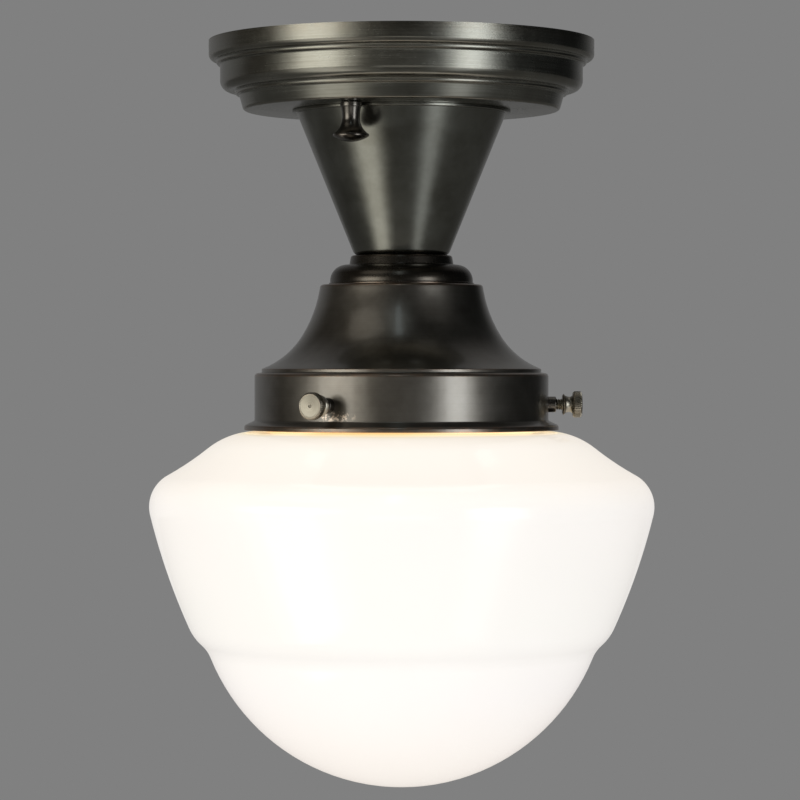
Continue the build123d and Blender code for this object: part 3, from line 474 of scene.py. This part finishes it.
def plated(name, dark, light, rough, scale=240.0):
    """Plated steel, brass or solder with faint cloudy patches and fine scratches."""
    material, tree, shader, place = start_material(name)
    cloud = noise(tree, place, scale, 5, 0.6, 0.4)
    spangle = put(tree, "ShaderNodeTexVoronoi", {"Vector": place, "Scale": scale * 1.6}).outputs["Color"]
    shade = put(tree, "ShaderNodeSeparateColor", {0: spangle}).outputs[0]
    stretched = put(tree, "ShaderNodeMapping", {"Vector": place, "Scale": (60, 2600, 2600)}).outputs[0]
    scratch = noise(tree, stretched, 1.0, 3, 0.6)
    tone = weighted(tree, (cloud, 0.6), (shade, 0.25))
    fill(tree, shader, {
        "Base Color": colours(tree, tone, [(0.2, dark), (0.7, light)]), "Metallic": 1.0,
        "Roughness": weighted(tree, (cloud, 0.2), (scratch, 0.15), plus=rough - 0.17),
        "Normal": bump(tree, weighted(tree, (scratch, 1), (cloud, 0.5)), 0.00002),
    })
    return material


def glazed(name, dark, light, rough, coat, scale, metallic=0.0, pits=0.00002):
    """Plastic, porcelain or enamel: slight colour clouds, an uneven gloss and a soft orange peel."""
    material, tree, shader, place = start_material(name)
    cloud = noise(tree, place, scale, 4, 0.6)
    specks = noise(tree, place, scale * 9, 2, 0.5)
    fill(tree, shader, {
        "Base Color": clouded(tree, cloud, dark, light), "Metallic": metallic,
        "Roughness": spread(tree, cloud, 0.3, 0.7, rough - 0.05, rough + 0.07),
        "Coat Weight": coat, "Coat Roughness": 0.06,
        "Normal": bump(tree, weighted(tree, (cloud, 1), (specks, 0.4)), pits),
    })
    return material


def clear_glass(name):
    """Thin clear glass of the bulb, a little uneven."""
    material, tree, shader, place = start_material(name)
    cloud = noise(tree, place, 60, 3, 0.5)
    fill(tree, shader, {
        "Base Color": clouded(tree, cloud, (0.96, 0.97, 0.97), (1, 1, 1)),
        "Roughness": spread(tree, cloud, 0.3, 0.7, 0.0, 0.03),
        "Transmission Weight": 1.0, "IOR": 1.5, "Normal": bump(tree, cloud, 0.0002, 0.3),
    })
    return material


GLOW_LOW, GLOW_HIGH = -0.271, -0.126  # heights of the ends of the glow's ramp, in metres
# The glow ramp is painted light of the bulb through the glass: warm at the foot, warmer on the shoulder, and
# dim orange at the top as painted shade under the skirt's lip.
GLOW = [(0.0, (0.99, 0.915, 0.845)), (0.10, (0.945, 0.875, 0.825)), (0.27, (0.885, 0.84, 0.82)),
        (0.45, (0.855, 0.825, 0.79)), (0.71, (0.845, 0.80, 0.77)), (0.785, (0.935, 0.86, 0.78)),
        (0.86, (0.94, 0.868, 0.783)), (0.884, (0.95, 0.855, 0.745)), (0.891, (0.94, 0.80, 0.52)),
        (0.900, (0.82, 0.40, 0.12)), (1.0, (0.62, 0.26, 0.06))]


def opal(name):
    """Cased opal glass with a painted glow for the bulb's light through it, graded by height, and dim orange
    at the top as painted shade where the skirt's lip hides its neck.
    """
    material, tree, shader, place = start_material(name)
    height = put(tree, "ShaderNodeSeparateXYZ", {0: place}).outputs[2]
    swirl = noise(tree, place, 14, 3, 0.5, 0.8)
    cloud = noise(tree, place, 5, 2, 0.5)
    shift = maths(tree, "MULTIPLY", maths(tree, "SUBTRACT", swirl, 0.5), 0.004)
    share = spread(tree, maths(tree, "ADD", height, shift), GLOW_LOW, GLOW_HIGH, 0, 1)
    fill(tree, shader, {
        "Base Color": clouded(tree, cloud, (0.61, 0.60, 0.58), (0.64, 0.63, 0.61)),
        "Emission Color": colours(tree, share, GLOW),
        "Emission Strength": spread(tree, swirl, 0.3, 0.7, 0.80, 0.82),
        "Roughness": spread(tree, swirl, 0.3, 0.7, 0.10, 0.15),
        "Coat Weight": 0.2, "Coat Roughness": 0.05,
        "Normal": bump(tree, maths(tree, "ADD", swirl, cloud), 0.0012, 0.35),
    })
    return material


def glowing_wire(name):
    material, tree, shader, place = start_material(name)
    cloud = noise(tree, place, 500, 3, 0.6)
    fill(tree, shader, {
        "Base Color": clouded(tree, cloud, (0.20, 0.18, 0.16), (0.42, 0.38, 0.33)), "Metallic": 1.0,
        "Roughness": spread(tree, cloud, 0.3, 0.7, 0.35, 0.5),
        "Emission Color": (1.0, 0.62, 0.25, 1), "Emission Strength": 2.0,
    })
    return material


satin = bronze(
    "bronze_satin", (0.148, 0.142, 0.120), (0.275, 0.274, 0.244), (0.24, 0.20, 0.155),
    rough=0.24, pitch=0.0004, coat=0.12, line_depth=0.000017, line_share=0.55, stretch=0.3)
satin_fine = bronze(
    "bronze_satin_fine", (0.155, 0.151, 0.129), (0.260, 0.262, 0.236), (0.17, 0.15, 0.125),
    rough=0.27, pitch=0.0003, coat=0.0, line_depth=0.000008, line_share=0.12, stretch=0.25)
# the skirt's orange edge tint is a painted warm reflection of the lit globe's glow on the edges of its lip
# and bead
skirted = bronze(
    "bronze_skirt", (0.145, 0.131, 0.112), (0.245, 0.230, 0.206), (0.42, 0.24, 0.14),
    rough=0.35, pitch=0.0004, coat=0.5, line_depth=0.000008, line_share=0.2, stretch=0.1, chipped=True)
gloss = bronze(
    "bronze_gloss", (0.058, 0.051, 0.043), (0.110, 0.100, 0.086), (0.15, 0.095, 0.065),
    rough=0.29, pitch=0.0004, coat=0.10, line_depth=0.000008, line_share=0.25, stretch=0.2)
knob_finish = bronze(
    "bronze_knob", (0.085, 0.074, 0.064), (0.160, 0.150, 0.136), (0.17, 0.148, 0.128),
    rough=0.26, pitch=0.0004, coat=0.15, line_depth=0.000006, line_share=0.3, stretch=0.2)
screw_finish = bronze(
    "bronze_screw", (0.210, 0.188, 0.152), (0.430, 0.405, 0.340), (0.62, 0.49, 0.36),
    rough=0.30, pitch=0.0003, coat=0.10, line_depth=0.000010, line_share=0.5, stretch=0.45)
zinc = plated("zinc_steel", (0.40, 0.41, 0.41), (0.66, 0.66, 0.63), rough=0.36)
bulb_metal = plated("bulb_metal", (0.48, 0.48, 0.47), (0.72, 0.71, 0.69), rough=0.30, scale=400)
solder = plated("solder", (0.36, 0.36, 0.38), (0.62, 0.62, 0.64), rough=0.42, scale=900)
tungsten = plated("tungsten", (0.20, 0.19, 0.18), (0.44, 0.42, 0.39), rough=0.40, scale=900)
brass = plated("brass", (0.58, 0.42, 0.17), (0.82, 0.64, 0.32), rough=0.30)
green_steel = glazed("green_steel", (0.015, 0.16, 0.045), (0.04, 0.28, 0.09),
                     rough=0.30, coat=0.1, scale=400, metallic=1.0)
porcelain = glazed("porcelain", (0.80, 0.79, 0.74), (0.88, 0.875, 0.84),
                   rough=0.22, coat=0.6, scale=90, pits=0.00006)
dark_glass = glazed("dark_glass", (0.010, 0.010, 0.016), (0.030, 0.028, 0.040),
                    rough=0.10, coat=0.8, scale=500)
black_vinyl, white_vinyl, green_vinyl = (
    glazed(f"{name}_insulation", dark, light, rough=0.38, coat=0.0, scale=500) for name, dark, light in (
        ("black", (0.012, 0.012, 0.013), (0.030, 0.030, 0.031)),
        ("white", (0.70, 0.69, 0.65), (0.80, 0.79, 0.76)),
        ("green", (0.02, 0.20, 0.05), (0.04, 0.30, 0.09)),
    ))
orange_plastic, green_plastic = (
    glazed(f"{name}_plastic", dark, light, rough=0.42, coat=0.0, scale=350, pits=0.00004)
    for name, dark, light in (
        ("orange", (0.72, 0.20, 0.02), (0.86, 0.29, 0.04)),
        ("green", (0.02, 0.22, 0.06), (0.05, 0.34, 0.10)),
    ))
bulb_glass = clear_glass("bulb_glass")
opal_glass = opal("opal_glass")
filament_finish = glowing_wire("lit_filament")

for node, finish in {
    "mounting_bracket": zinc, "canopy_washer": zinc, "holder_washer": zinc, "lampholder_strap": zinc,
    "lampholder_body": porcelain, "centre_contact": brass, "contact_rivet": brass,
    "live_lead": black_vinyl, "neutral_lead": white_vinyl, "ground_lead": green_vinyl,
    "bulb_envelope": bulb_glass, "bulb_stem": bulb_glass, "bulb_insulator": dark_glass,
    "bulb_tip_contact": solder, "filament_supports": tungsten,
}.items():
    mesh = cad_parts[node].data
    mesh.materials.clear()
    mesh.materials.append(finish)

# ---- spun shells ----
canopy_line = rounded([
    (PIPE_HOLE, CANOPY_Z), (57.3, CANOPY_Z, 1.2), (58.8, LEDGE_2 - BEAD, 0.7), (60.1, LEDGE_2 - BEAD, 0.7),
    (60.1, LEDGE_2, 0.7), (65.7, LEDGE_2, 3.6), (65.7, LEDGE_1 - BEAD, 0.7), (67.0, LEDGE_1 - BEAD, 0.7),
    (67.0, LEDGE_1, 0.7), (69.8, LEDGE_1, 2.3), (69.8, 0),
])
lathe("canopy_pan", section(canopy_line, SHEET, 1), satin, "fixture", ["canopy"])

cone_side = (38.3 - 17.0) / (CANOPY_Z - CONE_Z)
cone_rows = rounded([
    (PIPE_HOLE, CONE_Z), (17.0, CONE_Z, 2.5), (17.0 + cone_side * (BAND_Z - CONE_Z), BAND_Z),
    (39.5, BAND_Z, 0.4), (39.5, CANOPY_Z, 0.2), (37.4, CANOPY_Z), (16.55, CONE_Z + SHEET, 1.6),
    (PIPE_HOLE, CONE_Z + SHEET),
], closed=True)
lathe("cone_shell", cone_rows, satin_fine, "fixture", ["cone_neck"])

cap_line = rounded([
    (PIPE_HOLE, CONE_Z), (18.3, CONE_Z, 1.0), (18.9, CONE_Z - 3.4, 0.4), (25.9, CONE_Z - 3.4, 5.8),
    (25.9, CAP_Z + 0.8, 0.2), (26.3, CAP_Z + 0.6, 0.2), (26.3, CAP_Z),
])
lathe("cap_dome", section(cap_line, SHEET, -1), gloss, "fixture", ["holder_cap"])

BELL_WAIST, BELL_FOOT = (36.1, -106.8), (49.9, -118.4)
holder_top = rounded([(PIPE_HOLE, CAP_Z), (29.4, CAP_Z, 1.1), (29.75, CAP_Z - 2.0)])
bell = arcs(holder_top[-1], Vector(holder_top[-1]) - Vector(holder_top[-2]), [BELL_WAIST, BELL_FOOT])
skirt = rounded([
    BELL_FOOT, (50.7, -118.8, 0.3), (50.7, -120.0, 0.3), (53.3, -120.4, 1.4), (53.3, -137.4, 0.7),
    (57.0, -139.2, 1.1), (57.0, -140.8),
])
lathe("bell_holder", section(holder_top + bell + skirt[1:], SHEET, -1), skirted, "fixture",
      ["shade_holder"])

# ---- glass globe: heights are from the foot of its neck ----
GLOBE_LOW, NECK_START = (0, -128.8), (48.0, 3.3)
globe_outer = [GLOBE_LOW] + arcs(GLOBE_LOW, (1, 0), [
    (69.4, -82.0), (72.9, -77.0), (77.2, -71.1), (91.2, -30.4), (84.9, -16.0), (70.2, -6.2), (51.3, 0.0),
    NECK_START], 3)
globe_inner = [(max(r, 0.0), z) for r, z in section(globe_outer, GLASS, 1)[len(globe_outer):]]
globe_lip = rounded([NECK_START, (48.0, 12.1, 0.8), (50.8, 12.1, 1.2), (50.8, 15.1, 1.2), (45.0, 15.1, 1.0),
                     (45.0, 3.3)])
globe_rows = [(r, z + GLOBE_Z) for r, z in globe_outer + globe_lip[1:-1] + globe_inner]
globe_rows[-1] = (0.0, globe_rows[-1][1])


def blown(r, a, z):
    """The slightest out of round of a blown shade, none at the fitted neck."""
    free = np.clip((-146.0 - z) / 25.0, 0, 1) * np.clip(r / 60.0, 0, 1)
    return r - 0.12 * free * (1 + np.sin(3 * a + 0.8 + z * 0.02) * np.cos(2 * a - 1.1))


lathe("opal_globe", globe_rows, opal_glass, "globe", ["glass_globe"], carve=blown)

# ---- canopy knobs: heights are from the collar's top ----
KNOB_WAIST, KNOB_COLLAR = (3.1, -5.6), (3.5, -1.9)
KNOB_RIM, KNOB_TIP, BORE_END = 6.3, -14.0, -11.4
knob_rows = (
    [(0, BORE_END)]
    + dense(THREAD_BORE, BORE_END, -0.3, 0.16)
    + rounded([(THREAD_BORE, 0), (3.8, 0, 0.4), (3.8, -1.7, 0.4), KNOB_COLLAR])
    + arcs(KNOB_WAIST, (0, 1), [KNOB_COLLAR], 8)[::-1]
    + [KNOB_WAIST]
    + arcs(KNOB_WAIST, (0, -1), [(KNOB_RIM, -11.4)], 6)[:-1]
    + [(KNOB_RIM - 0.08, -11.25), (KNOB_RIM, -11.45), (KNOB_RIM, -12.0)]
    + arcs((0, KNOB_TIP), (1, 0), [(KNOB_RIM, -12.1)])[-2::-1]
    + [(0, KNOB_TIP)]
)
for side, name in ((-1, "front"), (1, "rear")):
    lathe(f"knob_{name}", knob_rows, knob_finish, f"knob_{name}", [f"canopy_knob_{name}"],
          96, threaded(THREAD_BORE, THREAD_PITCH, -0.25, BORE_END + 0.2, -0.4),
          at(0, side * KNOB_OFFSET, KNOB_Z))

# ---- thumbscrews and their bosses: distances are from the fixture's axis ----
SHANK_TIP, COLLAR_START, COLLAR_END, HEAD_START, HEAD_FACE = 48.3, 58.4, 59.4, 62.2, 65.5
HEAD_RADIUS, HEAD_FLAT, HEAD_CHAMFER = 4.8, 4.2, 0.6
BOSS_FOOT, BOSS_FACE = 52.45, 56.1
KNURLS, KNURL_DEPTH = 44, 0.32
screw_rows = (
    [(0, SHANK_TIP), (1.58, SHANK_TIP), (THREAD_RADIUS, SHANK_TIP + 0.5)]
    + dense(THREAD_RADIUS, SHANK_TIP + 0.55, COLLAR_START, 0.1)
    + rounded([(THREAD_RADIUS, COLLAR_START), (3.3, COLLAR_START, 0.1), (3.9, COLLAR_START + 0.5, 0.12),
               (3.25, COLLAR_END)])
    + arcs((3.25, COLLAR_END), (-0.75, 1.4), [(2.78, 60.8), (3.6, HEAD_START)], 8)
    + rounded([(3.6, HEAD_START), (HEAD_FLAT, HEAD_START, 0.1),
               (HEAD_RADIUS, HEAD_START + HEAD_CHAMFER, 0.15), (HEAD_RADIUS, HEAD_FACE - HEAD_CHAMFER, 0.15),
               (HEAD_FLAT, HEAD_FACE, 0.12), (3.9, HEAD_FACE, 0.05), (3.8, HEAD_FACE - 0.12, 0.05),
               (0.6, HEAD_FACE - 0.12, 0.1), (0, HEAD_FACE - 0.6)])
)


def knurled(r, a, z):
    """Straight knurl on the rim of the head."""
    tooth = np.clip(0.5 + 0.9 * np.cos(KNURLS * a), 0, 1) * KNURL_DEPTH
    on = (z > HEAD_START + 0.1) & (z < HEAD_FACE - 0.1) & (r > HEAD_FLAT)
    return np.where(on, np.minimum(r, HEAD_RADIUS - tooth), r)


boss_rows = rounded([(THREAD_BORE, BOSS_FOOT), (2.5, BOSS_FOOT), (2.5, 53.0), (2.85, 53.05),
                     (2.85, BOSS_FACE, 0.35), (THREAD_BORE, BOSS_FACE, 0.12)], closed=True)
screw_cut = both(threaded(THREAD_RADIUS, THREAD_PITCH, THREAD_DEPTH, SHANK_TIP + 0.5, COLLAR_START), knurled)
for name, angle in SCREW_ANGLES.items():
    place = (Matrix.Rotation(math.radians(angle), 4, "Z") @ at(0, 0, SCREW_Z)
             @ Matrix.Rotation(math.radians(90), 4, "Y"))
    lathe(f"thumbscrew_{name}_turned", screw_rows, screw_finish, f"screw_{name}",
          [f"thumbscrew_{name}"], 264, screw_cut, place, 28)
    lathe(f"boss_{name}", boss_rows, knob_finish, "fixture", ["thumbscrew_bosses"], 64,
          None, place)

# ---- pipe, nuts and screws ----
PIPE_THREAD = (PIPE_FOOT + 0.4, PIPE_TOP - 0.4)
pipe_rows = (rounded([(PIPE_BORE, PIPE_TOP), (PIPE_BORE, PIPE_FOOT), (4.7, PIPE_FOOT),
                      (PIPE_RADIUS, PIPE_THREAD[0])])
             + dense(PIPE_RADIUS, *PIPE_THREAD, 0.15) + [(4.7, PIPE_TOP)])
lathe("pipe_nipple", pipe_rows, zinc, "fixture", ["threaded_pipe"], 64,
      threaded(PIPE_RADIUS, PIPE_PITCH, 0.45, *PIPE_THREAD))


def nut(name, node, flats, bore, low, height, finish, place=None):
    """Hex nut with chamfered corners."""
    corner = flats / 2 / math.cos(math.radians(30))
    high = low + height
    rows = rounded([(bore, low), (flats / 2 - 0.2, low), (corner, low + 0.5), (corner, high - 0.5),
                    (flats / 2 - 0.2, high), (bore, high)], closed=True)
    lathe(name, rows, finish, "fixture", [node], 96, hexed(flats, low, high), place)


for name, node, low in (("upper", "canopy_nut", UPPER_NUT_Z), ("lower", "holder_nut", LOWER_NUT_Z)):
    nut(f"pipe_nut_{name}", node, 14.3, 5.15, low, 3.6, brass)

canopy_screw_rows = (
    [(0, CANOPY_SCREW_TIP), (1.58, CANOPY_SCREW_TIP), (THREAD_RADIUS, CANOPY_SCREW_TIP + 0.5)]
    + dense(THREAD_RADIUS, CANOPY_SCREW_TIP + 0.55, CANOPY_HEAD_LOW, 0.12)
    + rounded([(THREAD_RADIUS, CANOPY_HEAD_LOW), (3.9, CANOPY_HEAD_LOW, 0.2), (3.9, CANOPY_HEAD_TOP, 1.0),
               (0, CANOPY_HEAD_TOP + 0.05)])
)
for side, name in ((-1, "front"), (1, "rear")):
    place = at(0, side * KNOB_OFFSET, 0)
    cut = threaded(THREAD_RADIUS, THREAD_PITCH, THREAD_DEPTH, CANOPY_SCREW_TIP + 0.4, CANOPY_HEAD_LOW)
    screw = lathe(f"canopy_screw_{name}", canopy_screw_rows, zinc, "fixture",
                  ["canopy_screws"], 48, cut, place)
    slot_cut(screw, 0.9, 0.9, 5, CANOPY_HEAD_TOP, place)
    nut(f"lock_nut_{name}", "canopy_screw_nuts", 8.7, THREAD_BORE, BRACKET_Z - 3.2, 3.2, zinc,
        place)

GROUND_RADIUS, GROUND_HEX = 2.4, 7.9
ground_rows = (
    rounded([(0, GROUND_HEX_Z), (3.4, GROUND_HEX_Z, 0.2), (4.6, -11.1), (4.6, -8.7), (5.2, -8.7, 0.3),
             (5.2, GROUND_FLANGE_TOP, 0.2), (GROUND_RADIUS, GROUND_FLANGE_TOP)])
    + dense(GROUND_RADIUS, GROUND_FLANGE_TOP + 0.05, GROUND_TOP - 0.1, 0.14)
    + [(2.1, GROUND_TOP), (0, GROUND_TOP)]
)
place = at(0, GROUND_OFFSET, 0)
cut = both(hexed(GROUND_HEX, GROUND_HEX_Z, -8.71),
           threaded(GROUND_RADIUS, THREAD_PITCH, THREAD_DEPTH, GROUND_FLANGE_TOP, GROUND_TOP - 0.1))
ground = lathe("ground_screw_hex", ground_rows, green_steel, "fixture", ["ground_screw"], 96,
               cut, place)
slot_cut(ground, 1.1, 1.2, 6, GROUND_HEX_Z, place)

TERMINAL_RADIUS = 1.6
terminal_rows = (
    [(0, TERMINAL_TIP), (1.2, TERMINAL_TIP), (TERMINAL_RADIUS, TERMINAL_TIP + 0.4)]
    + dense(TERMINAL_RADIUS, TERMINAL_TIP + 0.45, TERMINAL_HEAD_LOW, 0.12)
    + rounded([(TERMINAL_RADIUS, TERMINAL_HEAD_LOW), (2.7, TERMINAL_HEAD_LOW, 0.2),
               (2.7, TERMINAL_HEAD_TOP, 1.1), (0, TERMINAL_HEAD_TOP + 0.05)])
)
for side, name in ((-1, "left"), (1, "right")):
    place = at(side * TERMINAL_OFFSET, 0, 0)
    screw = lathe(f"terminal_screw_{name}", terminal_rows, zinc, "fixture",
                  ["lampholder_screws"], 48,
                  threaded(TERMINAL_RADIUS, 0.6, 0.3, TERMINAL_TIP + 0.3, TERMINAL_HEAD_LOW), place)
    slot_cut(screw, 0.8, 0.8, 4, TERMINAL_HEAD_TOP, place)

# ---- lampholder shell and bulb ----
SHELL_OUTER, SHELL_INNER, SHELL_FOOT = 13.75, 13.35, -141.0
shell_rows = (
    rounded([(10.0, SOCKET_Z - 0.4), (10.0, SOCKET_Z), (SHELL_OUTER, SOCKET_Z, 0.3),
             (SHELL_OUTER, SOCKET_Z - 0.8)])
    + dense(SHELL_OUTER, SOCKET_Z - 0.9, SHELL_FOOT, 0.3)
    + dense(SHELL_INNER, SHELL_FOOT, SOCKET_Z - 0.9, 0.3)
    + [(SHELL_INNER, SOCKET_Z - 0.4)]
)
lathe("shell_thread", shell_rows, brass, "fixture", ["screw_shell"], 96,
      rolled(SHELL_FOOT + 0.1, SOCKET_Z - 1.2, 0.28, (SHELL_OUTER, SHELL_INNER)))

BASE_MIDDLE, BASE_SHOULDER = 12.65, BULB_Z - 4.0
base_rows = (
    [(9.4, BULB_Z - 3.0), (12.3, BASE_SHOULDER)]
    + dense(BASE_MIDDLE, BULB_Z - 4.4, FOOT_Z + 0.7, 0.28)
    + [(12.6, FOOT_Z + 0.4), (12.6, FOOT_Z), (11.4, FOOT_Z), (11.4, BASE_SHOULDER), (9.4, BASE_SHOULDER)]
)
lathe("bulb_screw_base", base_rows, bulb_metal, "bulb", ["bulb_base"], 96,
      rolled(FOOT_Z + 0.6, BULB_Z - 4.3, 0.33, (BASE_MIDDLE,)))

COIL_POINTS, COIL_TURNS, COIL_RADIUS, COIL_WIRE, FILAMENT_RADIUS = 1400, 90, 0.26, 0.08, 12.0
coil = []
for share in np.linspace(0, 1, COIL_POINTS):
    along = math.radians(200 + 140 * share)
    turn = 2 * math.pi * COIL_TURNS * share
    reach = FILAMENT_RADIUS + COIL_RADIUS * math.cos(turn)
    coil.append((reach * math.cos(along), reach * math.sin(along), FILAMENT_Z + COIL_RADIUS * math.sin(turn)))
wire("filament_coil", coil, COIL_WIRE, 6, filament_finish, "bulb", ["bulb_filament"])

# ---- wire connectors: heights are from the open rim ----
connector_rows = [(0, 9.0)] + rounded([
    (1.15, 9.0), (1.15, 3.0), (4.2, 0.0), (5.2, 0.0, 0.4), (5.15, 2.0, 0.3), (3.05, 19.6, 1.2), (0, 20.0),
])
RIBS, RIB_DEPTH = 12, 0.7
LEAD_REACH = 8.0  # length of lead inside its connector


def ribbed(r, a, z):
    """Moulded grips that run out at the rim and at the closed end."""
    groove = (0.5 + 0.5 * np.cos(RIBS * a)) ** 3
    fade = np.clip((z - 2.0) / 1.2, 0, 1) * np.clip((19.0 - z) / 1.0, 0, 1)
    return np.where(r > 2.9, r - RIB_DEPTH * fade * groove, r)


for name, end, before, finish, slot in (
    ("live", (30, -8.4, -10.5), (15, -5.6, -10.5), orange_plastic, "orange_plastic"),
    ("neutral", (-30, 8.4, -10.5), (-15, 5.6, -10.5), orange_plastic, "orange_plastic"),
    ("ground", (30, 32.75, -10.5), (20, 32.75, -10.5), green_plastic, "green_plastic"),
):
    way = (Vector(end) - Vector(before)).normalized()
    place = at(*(Vector(end) - way * LEAD_REACH)) @ way.to_track_quat("Z", "Y").to_matrix().to_4x4()
    lathe(f"{name}_twist_connector", dense_side(connector_rows, 0.8), finish, "fixture",
          [f"{name}_connector"], 96, ribbed, place)

# ---- lights: metres, and radiance in place of power ----
TOWARD = Vector((0.3827, -0.9239, 0))  # from the object to the camera
LEFT = Vector((-0.9239, -0.3827, 0))  # towards the image's left
MIDDLE = Vector((0, 0, -0.12))
CORE_SHARE, HALO_SHARE = 0.88, 0.28  # a narrow and a wide lamp in one place make a soft-edged highlight


def direction(turn, rise):
    """Direction from the object: turned from the camera towards the image's left, and raised."""
    a, e = math.radians(turn), math.radians(rise)
    return (TOWARD * math.cos(a) + LEFT * math.sin(a)) * math.cos(e) + Vector((0, 0, math.sin(e)))


def softbox(name, centre, aim, width, height, radiance, colour):
    light = bpy.data.lights.new(name, "AREA")
    light.shape = "RECTANGLE"
    light.size, light.size_y = width, height
    light.energy = radiance * math.pi * width * height
    light.color = colour
    lamp = bpy.data.objects.new(name, light)
    lamp.location = centre
    lamp.rotation_euler = (aim - centre).to_track_quat("-Z", "Y").to_euler()
    lamp.visible_camera = False
    scene.collection.objects.link(lamp)


# each level is its low end, its high end and its radiance
for side, turn, colour, core, halo, levels in (
    ("left", 51, (1.0, 0.98, 0.90), 0.52, 0.92,
     ((-0.08, 0.19, 3.5), (-0.32, -0.08, 1.25), (-0.75, -0.32, 1.5), (-1.30, -0.75, 1.5))),
    ("right", -42, (0.945, 0.982, 1.0), 0.29, 0.52,
     ((-0.08, 0.19, 4.4), (-0.32, -0.08, 4.1), (-0.75, -0.32, 1.3), (-1.30, -0.75, 0.75))),
):
    for number, (low, high, radiance) in enumerate(levels, 1):
        aim = Vector((0, 0, (low + high) / 2))
        spot = direction(turn, 0) + aim
        softbox(f"core_{side}_{number}", spot, aim, core, high - low, radiance * CORE_SHARE, colour)
        softbox(f"halo_{side}_{number}", spot, aim, halo, high - low, radiance * HALO_SHARE, colour)
for name, turn, rise, far, width, height, radiance, colour in (
    ("strip_above", 4.5, 50, 1.3, 0.13, 0.62, 1.35, (0.80, 0.94, 1.0)),
    ("ceiling_glow", 57, 48, 1.5, 0.9, 0.7, 0.45, (1.0, 0.96, 0.86)),
    ("ceiling_glow_right", -50, 34, 1.5, 0.9, 0.6, 0.08, (1.0, 0.98, 0.92)),
    ("front_card", 0, -6, 1.5, 0.8, 0.3, 0.55, (1.0, 0.98, 0.92)),
    ("top_light", 180, 82, 1.4, 1.1, 0.9, 0.45, (1.0, 0.99, 0.96)),
):
    softbox(name, MIDDLE + direction(turn, rise) * far, MIDDLE, width, height, radiance, colour)

# ---- world: plain grey to the camera, a dim room with soft grey patches to a mirror ----
GREY = (0.216, 0.216, 0.216)
world = bpy.data.worlds.new("studio")
scene.world = world
world.use_nodes = True
tree = world.node_tree
tree.nodes.clear()
sky = tree.nodes.new("ShaderNodeTexCoord").outputs["Generated"]
aside = spread(tree, vectors(tree, "DOT_PRODUCT", sky, LEFT), -0.6, 0.9, 0, 1)
mirrored = blend(tree, aside, (0.014, 0.015, 0.015), (0.055, 0.050, 0.042))
for way, edge, core in (
    (-TOWARD, 0.7, 0.98),
    (direction(139, 0), 0.88, 1.0),
    (direction(180, 58), 0.7, 0.97),
):
    patch = spread(tree, vectors(tree, "DOT_PRODUCT", sky, way), edge, core, 0, 1)
    mirrored = blend(tree, patch, mirrored, GREY)
path = tree.nodes.new("ShaderNodeLightPath")
soft = blend(tree, path.outputs["Is Diffuse Ray"], mirrored, (0.17, 0.17, 0.165))
backdrop = put(tree, "ShaderNodeBackground", {"Color": blend(tree, path.outputs["Is Camera Ray"], soft, GREY),
                                              "Strength": 1.0})
put(tree, "ShaderNodeOutputWorld", {0: backdrop.outputs[0]})

# ---- floor, far below the hanging light ----
FLOOR_RADIUS, FLOOR_Z = 9, -1.55
floor_mesh = bpy.data.meshes.new("floor")
floor_mesh.from_pydata([(FLOOR_RADIUS * math.cos(a), FLOOR_RADIUS * math.sin(a), FLOOR_Z)
                        for a in np.linspace(0, 2 * math.pi, 64, endpoint=False)], [], [tuple(range(64))])
floor_finish, tree, shader, place = start_material("floor_paper")
fill(tree, shader, {
    "Base Color": clouded(tree, noise(tree, place, 3, 3), (0.50, 0.50, 0.49), (0.54, 0.54, 0.53)),
    "Roughness": 0.9,
})
paper = put(tree, "ShaderNodeEmission", {"Color": (*GREY, 1), "Strength": 1.0})
seen = tree.nodes.new("ShaderNodeLightPath").outputs["Is Camera Ray"]
either = put(tree, "ShaderNodeMixShader", {0: seen, 1: shader.outputs[0], 2: paper.outputs[0]})
fill(tree, next(n for n in tree.nodes if n.type == "OUTPUT_MATERIAL"), {0: either.outputs[0]})
floor_mesh.materials.append(floor_finish)
floor = bpy.data.objects.new("floor", floor_mesh)
scene.collection.objects.link(floor)

# ---- camera ----
CAMERA_SPOT = Vector((0.450, -1.0865, -0.1191))
CAMERA_AIM = Vector((0, 0, -0.130)) + LEFT * 0.00054
camera_data = bpy.data.cameras.new("camera")
camera_data.lens = 145.8
camera_data.sensor_width = 36
camera = bpy.data.objects.new("camera", camera_data)
camera.location = CAMERA_SPOT
camera.rotation_euler = (CAMERA_AIM - CAMERA_SPOT).to_track_quat("-Z", "Y").to_euler()
scene.collection.objects.link(camera)
scene.camera = camera
scene.view_settings.view_transform = "Standard"
